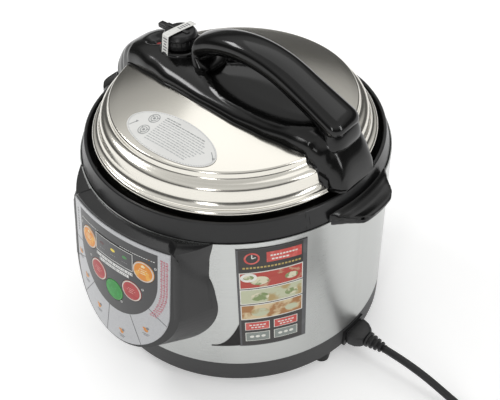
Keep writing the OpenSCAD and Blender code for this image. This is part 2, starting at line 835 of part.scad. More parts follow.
// Arched cross-section of the bridge, along its whole length
module bridge_arch() {
    translate([0, 0, bridge_top - bridge_arch_r]) rotate([0, 90, 0])
        cylinder(r = bridge_arch_r, h = 2 * bridge_r + 4, center = true, $fn = 240);
}

// Pillars under the grip's ends, cut to the arch's inner side
module pillars() {
    left_top = grip_z + grip_arch_r * sin(grip_left);
    translate([0, pillar_half, 0]) rotate([90, 0, 0]) linear_extrude(2 * pillar_half) {
        polygon([[90, dome_z - 8], [124, dome_z - 8], [120, bridge_top - 4], [114, bridge_top + 2],
            [98, bridge_top + 6]]);
        polygon([[-44, bridge_top - 4], [-10, bridge_top - 4], [-18, bridge_top + 6],
            [-24, left_top + 4], [-36, left_top + 9], [-40, left_top]]);
    }
}

module bridge_recess() {
    // a long spindle whose lower side dishes the plateau under the grip
    x_half = recess_len / 2;
    axis_z = bridge_top + recess_r - recess_depth;
    translate([recess_x, 0, axis_z]) rotate([0, 90, 0]) rotate_extrude() intersection() {
        translate([recess_r - recess_arc, 0]) circle(r = recess_arc, $fn = 180);
        translate([0, -x_half]) square([recess_r + 1, 2 * x_half]);
    }
}

module lid_bridge() {
    slot_z = dome(float_x) + 1.5;
    color("#1d1b1a") difference() {
        union() {
            difference() {
                intersection() {
                    translate([0, 0, bridge_bottom - 1]) linear_extrude(120) bridge_plan(0);
                    bridge_profile();
                    bridge_arch();
                }
                bridge_recess();
            }
            pillars();
            translate([valve_x, 0, bridge_top - 4]) cylinder(r = knob_r + 3, h = 6, $fn = 64);
        }
        lid_mass();
        rotate_extrude() translate([bead_c, bead_z]) circle(r = bead_r + fit, $fn = 32);
        grip_shape(fit / 2);
        translate([valve_x, 0, 0]) cylinder(r = valve_r + 0.2, h = 400, $fn = 32);
        translate([float_x, 0, 0]) cylinder(r = float_pin_r + 1.6, h = 400, $fn = 32);
        translate([float_x, 0, bridge_top + 4]) sphere(r = 10, $fn = 48);
        // channel for the interlock rod
        translate([-rim_r + 4, -3.4, slot_z - 0.3]) cube([rim_r + float_x + 4, 6.8, 6.2]);
        for (p = bridge_spots) translate(p) cylinder(r = 1.5, h = bridge_top - 3.4, $fn = 24);
    }
}

module bridge_screws() {
    color("silver") for (p = bridge_spots)
        translate([p[0], p[1], dome(norm(p)) - lid_wall - 3.2]) {
            cylinder(r = 3, h = 1.6, $fn = 24);
            cylinder(r = 1.45, h = 10, $fn = 24);
        }
}

// Section of the grip: flat between two round sides
module grip_section(grow) {
    half = grip_w / 2 - grip_t / 2;
    for (s = [-1, 1]) translate([0, s * half]) circle(r = grip_t / 2 + grow, $fn = 48);
    square([grip_t + 2 * grow, 2 * half], center = true);
}

// The grip: an arc of ring that runs on into a straight tail
module grip_shape(grow) {
    translate([grip_x, 0, grip_z]) rotate([90, -grip_right, 0]) {
        rotate_extrude(angle = grip_left - grip_right, $fn = 180) translate([grip_arch_r, 0])
            grip_section(grow);
        translate([grip_arch_r, eps, 0]) rotate([90, 0, 0]) linear_extrude(grip_tail + eps)
            grip_section(grow);
    }
}

module lid_grip() {
    color("#201e1d") grip_shape(0);
}

module steam_valve_stem() {
    color("#cfcfcd") translate([valve_x, 0, 0]) difference() {
        union() {
            translate([0, 0, plate_z - 5.5])
                cylinder(r = valve_r, h = knob_seat + 6 - plate_z + 5.5, $fn = 32);
            translate([0, 0, plate_z + lid_wall + 0.2]) cylinder(r = valve_r + 3, h = 3, $fn = 32);
        }
        translate([0, 0, plate_z - 6]) cylinder(r = 1.6, h = 100, $fn = 24);
    }
}

module steam_valve_knob() {
    color("#1a1a1b") translate([valve_x, 0, knob_seat]) {
        difference() {
            union() {
                cylinder(r = knob_r, h = knob_h * 0.6, $fn = 64);
                translate([0, 0, knob_h * 0.6 - eps])
                    cylinder(r1 = knob_r, r2 = knob_r - 2.5, h = knob_h * 0.4, $fn = 64);
                rotate(180) translate([knob_r - 3, -3, knob_h - 5]) cube([12, 6, 4.5]);
            }
            translate([0, 0, -1]) cylinder(r = valve_r + 0.3, h = 7.3, $fn = 32);
        }
    }
}

module valve_strip() {
    // paper strip folded over the knob
    strip_w = 8;
    top = knob_seat + knob_h + 0.1;
    color("white") translate([valve_x, 0, 0]) rotate(-98) {
        translate([-knob_r - 0.7, -strip_w / 2, top]) cube([2 * knob_r + 1.6, strip_w, 0.3]);
        translate([knob_r + 0.6, -strip_w / 2, knob_seat + 0.6]) cube([0.3, strip_w, knob_h - 0.5 + 0.3]);
    }
}

float_head_z = plate_z - float_lift - 5;

module float_valve() {
    color("#b02a2a") translate([float_x, 0, 0]) {
        translate([0, 0, float_head_z]) cylinder(r = 5, h = 2.4, $fn = 32);
        translate([0, 0, float_head_z + 2])
            cylinder(r = float_pin_r, h = bridge_top - 9 - float_head_z, $fn = 32);
    }
}

module float_seal() {
    color("#c9c4b8") translate([float_x, 0, float_head_z + 3.4]) rotate_extrude($fn = 48)
        translate([float_pin_r + 1.1, 0]) circle(r = 1, $fn = 16);
}

rod_travel = 3;

module interlock_rod() {
    slot_z = dome(float_x) + 1.5;
    rod_end = float_x - float_pin_r - rod_travel - 0.6;
    color("#8d8d8b") translate([-rim_r + 8, -3, slot_z]) cube([rod_end + rim_r - 8, 6, 3]);
}

module interlock_spring() {
    slot_z = dome(float_x) + 1.5;
    color("#9a9a98") translate([-rim_r + 10, 0, slot_z + 4.5]) rotate([0, 90, 0])
        cylinder(r = 1.2, h = 14, $fn = 24);
}

module lid_label() {
    // thin oval sticker that follows the dome
    color("#e8e8e4") intersection() {
        rotate_extrude() polygon(concat(
            [for (i = [0:8]) let (r = dome_r * i / 8) [r, dome(r) + 0.35]],
            [for (i = [8:-1:0]) let (r = dome_r * i / 8) [r, dome(r)]]));
        translate([7.5, -80, dome_z - 10]) linear_extrude(40) label_oval(40, 18);
    }
}

// A pointed oval of two arcs, half-length a and half-width b
module label_oval(a, b) {
    arc = (a * a + b * b) / (2 * b);
    intersection() {
        translate([0, arc - b]) circle(r = arc, $fn = 180);
        translate([0, b - arc]) circle(r = arc, $fn = 180);
    }
}

feet();
foot_screws();
base_ring();
bottom_cover();
cover_screws();
outer_sleeve();
sleeve_label();
collar_front();
collar_rear();
handle_right_top();
handle_right_base();
handle_left_top();
handle_left_base();
handle_screws();
pot_housing();
inner_pot();
heating_plate();
heating_element();
sensor_cap();
sensor_spring();
sensor_bracket();
pressure_switch();
thermal_fuse();
power_board();
board_posts();
panel_housing();
panel_overlay();
display_window();
indicator_lights();
key_upper_left();
key_upper_right();
key_lower_left();
key_lower_right();
key_start();
control_board();
board_screws();
tact_switches();
power_inlet();
cord_connector();
cord();
cord_coil();
mains_plug();
lid_shell();
lid_gasket();
gasket_plate();
lid_nut();
anti_block_cap();
lid_bridge();
lid_grip();
bridge_screws();
steam_valve_knob();
steam_valve_stem();
valve_strip();
float_valve();
float_seal();
interlock_rod();
interlock_spring();
lid_label();
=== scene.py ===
import json
import math

import bmesh
import bpy
from mathutils import Matrix, Vector


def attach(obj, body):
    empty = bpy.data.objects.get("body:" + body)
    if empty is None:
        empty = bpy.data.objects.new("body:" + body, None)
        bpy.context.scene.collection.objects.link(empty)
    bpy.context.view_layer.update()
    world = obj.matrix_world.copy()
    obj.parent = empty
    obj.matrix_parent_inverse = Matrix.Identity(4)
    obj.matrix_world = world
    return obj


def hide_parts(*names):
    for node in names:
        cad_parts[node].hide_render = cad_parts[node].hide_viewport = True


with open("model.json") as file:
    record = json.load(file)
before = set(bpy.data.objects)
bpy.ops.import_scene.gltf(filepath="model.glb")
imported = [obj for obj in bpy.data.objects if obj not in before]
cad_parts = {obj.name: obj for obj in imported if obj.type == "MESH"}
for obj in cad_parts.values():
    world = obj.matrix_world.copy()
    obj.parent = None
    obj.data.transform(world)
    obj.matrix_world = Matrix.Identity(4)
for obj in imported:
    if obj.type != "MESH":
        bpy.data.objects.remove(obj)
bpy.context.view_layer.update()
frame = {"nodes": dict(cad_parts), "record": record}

bl_info = {
    "name": "Pressure cooker looks",
    "version": (1, 0, 0),
    "blender": (4, 5, 0),
    "location": "View3D > Sidebar > Cooker",
    "description": "Builds the visible pieces, finishes and stage of an electric pressure cooker",
    "category": "Object",
}

MM = 0.001


# ---------------------------------------------------------------- sizes and colours
class CookerSizes(bpy.types.PropertyGroup):
    """Sizes that the pieces share."""

    grip_width: bpy.props.FloatProperty(
        name="Grip width", description="Width of the lid's grip", default=0.030, unit="LENGTH")
    grip_height: bpy.props.FloatProperty(
        name="Grip height", description="Thickness of the lid's grip", default=0.020, unit="LENGTH")
    key_radius: bpy.props.FloatProperty(
        name="Key radius", description="Radius of a round key", default=0.010, unit="LENGTH")
    cord_diameter: bpy.props.FloatProperty(
        name="Cord diameter", description="Diameter of the mains lead", default=0.007, unit="LENGTH")


class CookerColours(bpy.types.PropertyGroup):
    """Colours of the finishes."""

    gloss_black: bpy.props.FloatVectorProperty(
        name="Gloss black", description="Bridge, grip and panel housing", subtype="COLOR", size=4,
        default=(0.0035, 0.0035, 0.0035, 1))
    satin_black: bpy.props.FloatVectorProperty(
        name="Satin black", description="Collar band and handle undersides", subtype="COLOR", size=4,
        default=(0.012, 0.012, 0.0125, 1))
    charcoal: bpy.props.FloatVectorProperty(
        name="Charcoal", description="Base ring", subtype="COLOR", size=4,
        default=(0.035, 0.035, 0.036, 1))
    lid_steel: bpy.props.FloatVectorProperty(
        name="Lid steel", description="Polished lid", subtype="COLOR", size=4,
        default=(0.76, 0.735, 0.67, 1))
    sleeve_steel: bpy.props.FloatVectorProperty(
        name="Sleeve steel", description="Satin outer sleeve", subtype="COLOR", size=4,
        default=(0.50, 0.51, 0.50, 1))
    key_orange: bpy.props.FloatVectorProperty(
        name="Orange keys", description="Upper keys", subtype="COLOR", size=4,
        default=(0.72, 0.25, 0.02, 1))
    key_red: bpy.props.FloatVectorProperty(
        name="Red keys", description="Lower keys", subtype="COLOR", size=4,
        default=(0.40, 0.028, 0.03, 1))
    key_green: bpy.props.FloatVectorProperty(
        name="Green key", description="Start key", subtype="COLOR", size=4,
        default=(0.012, 0.26, 0.03, 1))


# ---------------------------------------------------------------- node groups
def new_group(name, inputs, outputs):
    """An empty shader node group with float, colour or vector sockets."""
    group = bpy.data.node_groups.new(name, "ShaderNodeTree")
    kinds = {"f": "NodeSocketFloat", "c": "NodeSocketColor", "v": "NodeSocketVector"}
    for label, kind, default in inputs:
        socket = group.interface.new_socket(label, in_out="INPUT", socket_type=kinds[kind])
        socket.default_value = default
    for label, kind in outputs:
        group.interface.new_socket(label, in_out="OUTPUT", socket_type=kinds[kind])
    entry = group.nodes.new("NodeGroupInput")
    leave = group.nodes.new("NodeGroupOutput")
    return group, entry, leave


def math_node(nodes, links, kind, *values):
    """A Math node whose inputs are numbers or sockets."""
    node = nodes.new("ShaderNodeMath")
    node.operation = kind
    for i, value in enumerate(values):
        if isinstance(value, (int, float)):
            node.inputs[i].default_value = value
        else:
            links.new(value, node.inputs[i])
    return node.outputs[0]


def moulded_group():
    """Fine moulded grain, soft smudges in the gloss and a little settled dust."""
    group, entry, leave = new_group(
        "moulded_surface",
        [("Colour", "c", (0.02, 0.02, 0.02, 1)), ("Roughness", "f", 0.3), ("Grain size", "f", 2500.0),
         ("Grain depth", "f", 0.05), ("Smudge", "f", 0.08), ("Dust", "f", 0.1)],
        [("Colour", "c"), ("Roughness", "f"), ("Normal", "v")])
    nodes, links = group.nodes, group.links
    place = nodes.new("ShaderNodeTexCoord")
    grain = nodes.new("ShaderNodeTexNoise")
    grain.inputs["Detail"].default_value = 4
    links.new(place.outputs["Object"], grain.inputs["Vector"])
    links.new(entry.outputs["Grain size"], grain.inputs["Scale"])
    cloud = nodes.new("ShaderNodeTexNoise")
    cloud.inputs["Scale"].default_value = 22
    cloud.inputs["Detail"].default_value = 5
    cloud.inputs["Roughness"].default_value = 0.65
    links.new(place.outputs["Object"], cloud.inputs["Vector"])
    centred = math_node(nodes, links, "SUBTRACT", cloud.outputs["Fac"], 0.5)
    swing = math_node(nodes, links, "MULTIPLY", centred, entry.outputs["Smudge"])
    rough = math_node(nodes, links, "ADD", entry.outputs["Roughness"], swing)
    links.new(rough, leave.inputs["Roughness"])
    shape = nodes.new("ShaderNodeNewGeometry")
    split = nodes.new("ShaderNodeSeparateXYZ")
    links.new(shape.outputs["Normal"], split.inputs[0])
    up = math_node(nodes, links, "MAXIMUM", split.outputs["Z"], 0.0)
    specks = nodes.new("ShaderNodeMapRange")
    specks.inputs["From Min"].default_value = 0.5
    specks.inputs["From Max"].default_value = 0.75
    links.new(cloud.outputs["Fac"], specks.inputs["Value"])
    settled = math_node(nodes, links, "MULTIPLY", up, specks.outputs["Result"])
    amount = math_node(nodes, links, "MULTIPLY", settled, entry.outputs["Dust"])
    mix = nodes.new("ShaderNodeMix")
    mix.data_type = "RGBA"
    links.new(amount, mix.inputs["Factor"])
    links.new(entry.outputs["Colour"], mix.inputs["A"])
    mix.inputs["B"].default_value = (0.30, 0.29, 0.27, 1)
    links.new(mix.outputs["Result"], leave.inputs["Colour"])
    bump = nodes.new("ShaderNodeBump")
    bump.inputs["Distance"].default_value = 0.0004
    links.new(entry.outputs["Grain depth"], bump.inputs["Strength"])
    links.new(grain.outputs["Fac"], bump.inputs["Height"])
    links.new(bump.outputs["Normal"], leave.inputs["Normal"])
    return group


def brushed_group():
    """Brush marks that run round the pot's axis or stay fine and even, with faint handling marks; streaks
    drawn tall and strong, as on the sleeve, are painted reflection bands in the colour.
    """
    group, entry, leave = new_group(
        "brushed_metal",
        [("Colour", "c", (0.6, 0.6, 0.6, 1)), ("Roughness", "f", 0.3), ("Mark depth", "f", 0.1),
         ("Mark stretch", "v", (30.0, 30.0, 1800.0)), ("Streak and reflection band stretch", "v", (14.0, 14.0, 14.0)),
         ("Tone and reflection band variation", "f", 0.1)],
        [("Colour", "c"), ("Roughness", "f"), ("Normal", "v")])
    nodes, links = group.nodes, group.links
    place = nodes.new("ShaderNodeTexCoord")
    stretch = nodes.new("ShaderNodeMapping")
    links.new(place.outputs["Object"], stretch.inputs["Vector"])
    links.new(entry.outputs["Mark stretch"], stretch.inputs["Scale"])
    marks = nodes.new("ShaderNodeTexNoise")
    marks.inputs["Scale"].default_value = 1
    marks.inputs["Detail"].default_value = 6
    marks.inputs["Roughness"].default_value = 0.7
    links.new(stretch.outputs["Vector"], marks.inputs["Vector"])
    streak_and_band_mapping = nodes.new("ShaderNodeMapping")
    links.new(place.outputs["Object"], streak_and_band_mapping.inputs["Vector"])
    links.new(entry.outputs["Streak and reflection band stretch"], streak_and_band_mapping.inputs["Scale"])
    cloud = nodes.new("ShaderNodeTexNoise")
    cloud.inputs["Scale"].default_value = 1
    cloud.inputs["Detail"].default_value = 3
    links.new(streak_and_band_mapping.outputs["Vector"], cloud.inputs["Vector"])
    both = math_node(nodes, links, "MULTIPLY", marks.outputs["Fac"], 0.3)
    both = math_node(nodes, links, "MULTIPLY_ADD", cloud.outputs["Fac"], 0.7, both)
    centred = math_node(nodes, links, "SUBTRACT", both, 0.5)
    swing = math_node(nodes, links, "MULTIPLY", centred, entry.outputs["Tone and reflection band variation"])
    rough = math_node(nodes, links, "ADD", entry.outputs["Roughness"], swing)
    links.new(rough, leave.inputs["Roughness"])
    # the colour follows the streaks, so tall strong streaks paint dark and light reflection bands
    level = math_node(nodes, links, "MULTIPLY_ADD", swing, 1.1, 1.0)
    tint = nodes.new("ShaderNodeVectorMath")
    tint.operation = "SCALE"
    links.new(entry.outputs["Colour"], tint.inputs[0])
    links.new(level, tint.inputs["Scale"])
    links.new(tint.outputs["Vector"], leave.inputs["Colour"])
    bump = nodes.new("ShaderNodeBump")
    bump.inputs["Distance"].default_value = 0.0003
    links.new(entry.outputs["Mark depth"], bump.inputs["Strength"])
    links.new(marks.outputs["Fac"], bump.inputs["Height"])
    links.new(bump.outputs["Normal"], leave.inputs["Normal"])
    return group


def printed_group():
    """Two printed inks that meet in soft blotches, for pictures and worn film."""
    group, entry, leave = new_group(
        "printed_ink",
        [("Ink", "c", (0.5, 0.5, 0.5, 1)), ("Second ink", "c", (0.5, 0.5, 0.5, 1)),
         ("Blotch size", "f", 120.0), ("Edge", "f", 0.5), ("Roughness", "f", 0.35)],
        [("Colour", "c"), ("Roughness", "f")])
    nodes, links = group.nodes, group.links
    place = nodes.new("ShaderNodeTexCoord")
    blotch = nodes.new("ShaderNodeTexNoise")
    blotch.inputs["Detail"].default_value = 3
    links.new(place.outputs["Object"], blotch.inputs["Vector"])
    links.new(entry.outputs["Blotch size"], blotch.inputs["Scale"])
    low = math_node(nodes, links, "SUBTRACT", entry.outputs["Edge"], 0.04)
    high = math_node(nodes, links, "ADD", entry.outputs["Edge"], 0.04)
    step = nodes.new("ShaderNodeMapRange")
    links.new(blotch.outputs["Fac"], step.inputs["Value"])
    links.new(low, step.inputs["From Min"])
    links.new(high, step.inputs["From Max"])
    mix = nodes.new("ShaderNodeMix")
    mix.data_type = "RGBA"
    links.new(step.outputs["Result"], mix.inputs["Factor"])
    links.new(entry.outputs["Ink"], mix.inputs["A"])
    links.new(entry.outputs["Second ink"], mix.inputs["B"])
    links.new(mix.outputs["Result"], leave.inputs["Colour"])
    fine = nodes.new("ShaderNodeTexNoise")
    fine.inputs["Scale"].default_value = 60
    links.new(place.outputs["Object"], fine.inputs["Vector"])
    rough = math_node(nodes, links, "MULTIPLY_ADD", fine.outputs["Fac"], 0.12, entry.outputs["Roughness"])
    links.new(rough, leave.inputs["Roughness"])
    return group


GROUPS = {}
FINISHES = {}


def shared(name):
    """A node group by name, built once."""
    makers = {"moulded": moulded_group, "brushed": brushed_group, "printed": printed_group}
    if name not in GROUPS:
        GROUPS[name] = makers[name]()
    return GROUPS[name]


def blank_material(name):
    """A material with only its Principled shader and output."""
    mat = bpy.data.materials.new(name)
    mat.use_nodes = True
    nodes, links = mat.node_tree.nodes, mat.node_tree.links
    nodes.clear()
    shader = nodes.new("ShaderNodeBsdfPrincipled")
    out = nodes.new("ShaderNodeOutputMaterial")
    links.new(shader.outputs["BSDF"], out.inputs["Surface"])
    return mat, nodes, links, shader


def wire(mat_parts, group, values, outputs=("Colour", "Roughness", "Normal")):
    """Puts a shared group into a material and joins it to the shader."""
    nodes, links, shader = mat_parts[1:]
    node = nodes.new("ShaderNodeGroup")
    node.node_tree = shared(group)
    for key, value in values.items():
        node.inputs[key].default_value = value
    ends = {"Colour": "Base Color", "Roughness": "Roughness", "Normal": "Normal"}
    for key in outputs:
        links.new(node.outputs[key], shader.inputs[ends[key]])


def plastic(name, colour, rough, grain=2500.0, depth=0.04, smudge=0.08, dust=0.02, shine=0.4):
    """A moulded plastic or rubber finish."""
    if name in FINISHES:
        return FINISHES[name]
    parts = blank_material(name)
    shader = parts[3]
    wire(parts, "moulded", {"Colour": tuple(colour), "Roughness": rough, "Grain size": grain,
                            "Grain depth": depth, "Smudge": smudge, "Dust": dust})
    shader.inputs["Specular IOR Level"].default_value = shine
    FINISHES[name] = parts[0]
    return parts[0]


def metal(name, colour, rough, stretch=(30, 30, 1800), depth=0.06, tone_and_reflection_band_contrast=0.1, streaks_and_reflection_bands=(14, 14, 14)):
    """A brushed, polished or cast metal finish, whose tone streaks can paint reflection bands into the
    colour.
    """
    if name in FINISHES:
        return FINISHES[name]
    parts = blank_material(name)
    wire(parts, "brushed", {"Colour": tuple(colour), "Roughness": rough, "Mark depth": depth,
                            "Mark stretch": stretch, "Streak and reflection band stretch": streaks_and_reflection_bands, "Tone and reflection band variation": tone_and_reflection_band_contrast})
    parts[3].inputs["Metallic"].default_value = 1.0
    FINISHES[name] = parts[0]
    return parts[0]


def ink(name, colour, second=None, size=120.0, edge=0.62, rough=0.3, glow=0.0):
    """A printed film or paper finish."""
    if name in FINISHES:
        return FINISHES[name]
    parts = blank_material(name)
    first = tuple(colour) + (1,) * (4 - len(colour))
    if second is None:
        other = tuple(min(1, c * 0.86) for c in first[:3]) + (1,)
    else:
        other = tuple(second) + (1,) * (4 - len(second))
    wire(parts, "printed", {"Ink": first, "Second ink": other, "Blotch size": size, "Edge": edge,
                            "Roughness": rough}, ("Colour", "Roughness"))
    if glow:
        parts[3].inputs["Emission Color"].default_value = first
        parts[3].inputs["Emission Strength"].default_value = glow
    FINISHES[name] = parts[0]
    return parts[0]


# ---------------------------------------------------------------- mesh helpers
def finish_piece(name, bm, body, materials, sharp=35.0, stands_for=(), merge=1e-6):
    """Turns a bmesh into a smooth-shaded piece that rides on a body."""
    bmesh.ops.remove_doubles(bm, verts=bm.verts, dist=merge)
    bmesh.ops.recalc_face_normals(bm, faces=bm.faces)
    for face in bm.faces:
        face.smooth = True
    for edge in bm.edges:
        edge.smooth = len(edge.link_faces) < 2 or edge.calc_face_angle(0.0) < math.radians(sharp)
    mesh = bpy.data.meshes.new(name)
    bm.to_mesh(mesh)
    bm.free()
    for mat in materials:
        mesh.materials.append(mat)
    piece = bpy.data.objects.new(name, mesh)
    bpy.context.scene.collection.objects.link(piece)
    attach(piece, body)
    if stands_for:
        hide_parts(*stands_for)
    return piece


def add_subdivision(piece, levels):
    """Catmull-Clark smoothing, the same in the view and the render."""
    smooth = piece.modifiers.new("smooth", "SUBSURF")
    smooth.levels = levels
    smooth.render_levels = levels


def fillet(points, radius, steps=5):
    """Rounds the inner corners of an open outline of (r, z) points."""
    made = [Vector(points[0])]
    for before, here, after in zip(points, points[1:], points[2:]):
        a, b, c = Vector(before), Vector(here), Vector(after)
        cut = min(radius, (a - b).length * 0.45, (c - b).length * 0.45)
        start, end = b + (a - b).normalized() * cut, b + (c - b).normalized() * cut
        for i in range(steps + 1):
            t = i / steps
            made.append(start * (1 - t) ** 2 + b * 2 * t * (1 - t) + end * t * t)
    made.append(Vector(points[-1]))
    return made


def spin_outline(bm, points, steps=144, centre=(0, 0, 0)):
    """Turns an outline of (r, z) points, in mm, into a full round."""
    cx, cy, cz = centre
    verts = [bm.verts.new(((cx + p[0]) * MM, cy * MM, (cz + p[1]) * MM)) for p in points]
    edges = [bm.edges.new(pair) for pair in zip(verts, verts[1:])]
    bmesh.ops.spin(bm, geom=verts + edges, cent=(cx * MM, cy * MM, cz * MM), axis=(0, 0, 1),
                   angle=math.tau, steps=steps, use_merge=True)
    bmesh.ops.remove_doubles(bm, verts=bm.verts, dist=1e-7)


def block(bm, low, high, bevel, segments=3):
    """A box between two corners, in mm, with rounded edges."""
    made = bmesh.ops.create_cube(bm, size=1)
    low, high = Vector(low) * MM, Vector(high) * MM
    size = high - low
    bmesh.ops.scale(bm, vec=size, verts=made["verts"])
    bmesh.ops.translate(bm, vec=(low + high) / 2, verts=made["verts"])
    edges = list({e for v in made["verts"] for e in v.link_edges})
    made = bmesh.ops.bevel(bm, geom=edges, offset=bevel * MM, affect="EDGES", segments=segments,
                           profile=0.5, material=-1)
    return list({v for f in made["faces"] for v in f.verts})


def lay_block(bm, length, width, height, place, mat=0, cuts=0):
    """A flat block in its own (u, v, w) frame, in mm, put in place point by point."""
    made = bmesh.ops.create_grid(bm, x_segments=max(1, cuts), y_segments=1, size=0.5)
    verts = made["verts"]
    faces = list({f for v in verts for f in v.link_faces})
    raised = bmesh.ops.extrude_face_region(bm, geom=faces)
    top = [v for v in raised["geom"] if isinstance(v, bmesh.types.BMVert)]
    for face in list({f for v in verts + top for f in v.link_faces}):
        face.material_index = mat
    for vert in verts:
        vert.co = place(vert.co.x * length, vert.co.y * width, 0.0)
    for vert in top:
        vert.co = place(vert.co.x * length, vert.co.y * width, height)


def lay_disc(bm, radius, height, place, mat=0, sides=32, inner=0.0, shape=(1.0, 1.0)):
    """A flat disc or ring in its own frame, in mm, put in place point by point."""
    made = bmesh.ops.create_circle(bm, cap_ends=not inner, cap_tris=not inner, segments=sides, radius=1.0)
    verts = made["verts"]
    if inner:
        edges = list({e for v in verts for e in v.link_edges})
        grown = bmesh.ops.extrude_edge_only(bm, edges=edges)
        ring = [v for v in grown["geom"] if isinstance(v, bmesh.types.BMVert)]
        for vert in ring:
            vert.co *= inner / radius
        verts = verts + ring
    faces = list({f for v in verts for f in v.link_faces})
    raised = bmesh.ops.extrude_face_region(bm, geom=faces)
    top = [v for v in raised["geom"] if isinstance(v, bmesh.types.BMVert)]
    for face in list({f for v in verts + top for f in v.link_faces}):
        face.material_index = mat
    for vert in verts:
        vert.co = place(vert.co.x * radius * shape[0], vert.co.y * radius * shape[1], 0.0)
    for vert in top:
        vert.co = place(vert.co.x * radius * shape[0], vert.co.y * radius * shape[1], height)


def turned(place, angle):
    """The same placing, turned by an angle in degrees about its origin."""
    c, s = math.cos(math.radians(angle)), math.sin(math.radians(angle))
    return lambda a, b, w: place(a * c - b * s, a * s + b * c, w)


def sweep(bm, stations, sides, mat=0):
    """A closed body along (centre, side, up, half width, half height, squareness) stations, in mm."""
    made = bmesh.ops.create_cone(bm, cap_ends=True, cap_tris=False, segments=sides, radius1=1, radius2=1,
                                 depth=1)
    verts = made["verts"]
    uprights = [e for e in bm.edges if e.verts[0] in verts and abs(e.verts[0].co.z - e.verts[1].co.z) > 0.5]
    cuts = len(stations) - 2
    if cuts > 0:
        bmesh.ops.subdivide_edges(bm, edges=uprights, cuts=cuts, use_grid_fill=True)
    for vert in [v for v in bm.verts if v.tag is False]:
        level = (vert.co.z + 0.5) * (len(stations) - 1)
        centre, side, up, half_w, half_h, square = stations[min(len(stations) - 1, round(level))]
        a = math.atan2(vert.co.y, vert.co.x)
        power = 2.0 / square
        x = math.copysign(abs(math.cos(a)) ** power, math.cos(a)) * half_w
        y = math.copysign(abs(math.sin(a)) ** power, math.sin(a)) * half_h
        vert.co = (Vector(centre) + Vector(side) * x + Vector(up) * y) * MM
        vert.tag = True
        for face in vert.link_faces:
            face.material_index = mat


def between(table, x):
    """A smooth value read from (x, value) pairs."""
    if x <= table[0][0]:
        return table[0][1]
    for (x0, y0), (x1, y1) in zip(table, table[1:]):
        if x <= x1:
            t = (x - x0) / (x1 - x0)
            t = t * t * (3 - 2 * t) * 0.5 + t * 0.5
            return y0 + (y1 - y0) * t
    return table[-1][1]


def soft_step(value, low, high):
    """0 below low, 1 above high and smooth between."""
    t = max(0.0, min(1.0, (value - low) / (high - low)))
    return t * t * (3 - 2 * t)


# ---------------------------------------------------------------- shared shapes, in mm
DOME_EDGE, DOME_TOP, DOME_LOW = 104.2, 240.0, 228.0
LID_EDGE = [(DOME_EDGE, 228.0), (105.3, 226.6), (105.5, 222.4), (107.8, 220.6), (110.8, 219.4),
            (113.1, 217.2), (113.9, 214.4), (114.9, 207.4), (116.7, 204.4), (119.4, 203.0)]
TILT = math.radians(8.0)
FACE_Y, FACE_Z, FACE_BOW = -155.0, 120.0, 164.0
KNOB_X, FLOAT_X = -58, -86


def dome(r):
    """Height of the lid's dome at a radius."""
    return DOME_TOP - (DOME_TOP - DOME_LOW) * (r / DOME_EDGE) ** 2


def lid_height(r):
    """Height of the lid's outside at a radius."""
    if r <= DOME_EDGE:
        return dome(r)
    for (r0, z0), (r1, z1) in zip(LID_EDGE, LID_EDGE[1:]):
        if r <= r1:
            return z0 + (z1 - z0) * (r - r0) / (r1 - r0)
    return 200.8


def on_face(u, v, w):
    """A point of the panel's bowed face: u across, v up and w out of it."""
    w = w - (FACE_BOW - math.sqrt(FACE_BOW ** 2 - u * u))
    y = -w * math.cos(TILT) + v * math.sin(TILT)
    z = w * math.sin(TILT) + v * math.cos(TILT)
    return Vector((u, FACE_Y + y, FACE_Z + z)) * MM


def on_sleeve(u, z, w, radius=135.5):
    """A point of the sleeve's label: u is the arc from the front and w stands out."""
    a = u / 135.0 - math.pi / 2
    r = radius + w
    return Vector((r * math.cos(a), r * math.sin(a), z)) * MM


def on_lid_label(u, v, w):
    """A point of the lid's label, which lies on the dome."""
    x, y = 7.5 + u, -80.0 + v
    return Vector((x, y, dome(math.hypot(x, y)) + 0.4 + w)) * MM


# ---------------------------------------------------------------- camera and cord
CORD_ROUTE = [(169, 0, 22), (186, 0, 21.4), (200, 0, 20), (214, 0, 17.4), (226, 0, 14), (238, 0, 10.2),
              (248, 0, 7.2), (257, 0, 5), (267, 0, 3.8), (280, 0, 3.5)]
COIL_CENTRE = (300.0, -46.0)
PLUG_TAIL = (288.0, -92.0, 7.0)
INLET_HEIGHT = 22


def coil_point(turn):
    """A point of the stored coil, from 0 to 4.5 turns, going down by the outer turns and back out on top."""
    ways = [(0.0, 46.0), (0.72, 46.0), (0.95, 39.0), (1.72, 39.0), (1.95, 32.0), (3.05, 32.0), (3.28, 39.0),
            (4.05, 39.0), (4.28, 46.0), (4.5, 46.0)]
    rise = [(0.0, 3.5), (2.30, 3.5), (2.55, 10.5), (4.36, 10.5), (4.5, 8.0)]
    a = math.pi / 2 - turn * math.tau
    r = between(ways, turn)
    return Vector((COIL_CENTRE[0] + r * math.cos(a), COIL_CENTRE[1] + r * math.sin(a), between(rise, turn)))


def cord_line():
    """The whole centreline of the mains lead, in mm."""
    route = [Vector(p) for p in CORD_ROUTE]
    line = []
    padded = [route[0] * 2 - route[1]] + route + [Vector((300, 0, 3.5))]
    for p0, p1, p2, p3 in zip(padded, padded[1:], padded[2:], padded[3:]):
        for k in range(3):
            t = k / 3
            line.append(0.5 * ((2 * p1) + (p2 - p0) * t + (2 * p0 - 5 * p1 + 4 * p2 - p3) * t * t
                               + (3 * p1 - p0 - 3 * p2 + p3) * t ** 3))
    line += [Vector((280, 0, 3.5)), Vector((287, 0, 3.5)), Vector((294, 0, 3.5))]
    line += [coil_point(i / 48) for i in range(0, 217)]
    line += [Vector((294, -92, 7.4)), Vector(PLUG_TAIL)]
    return line


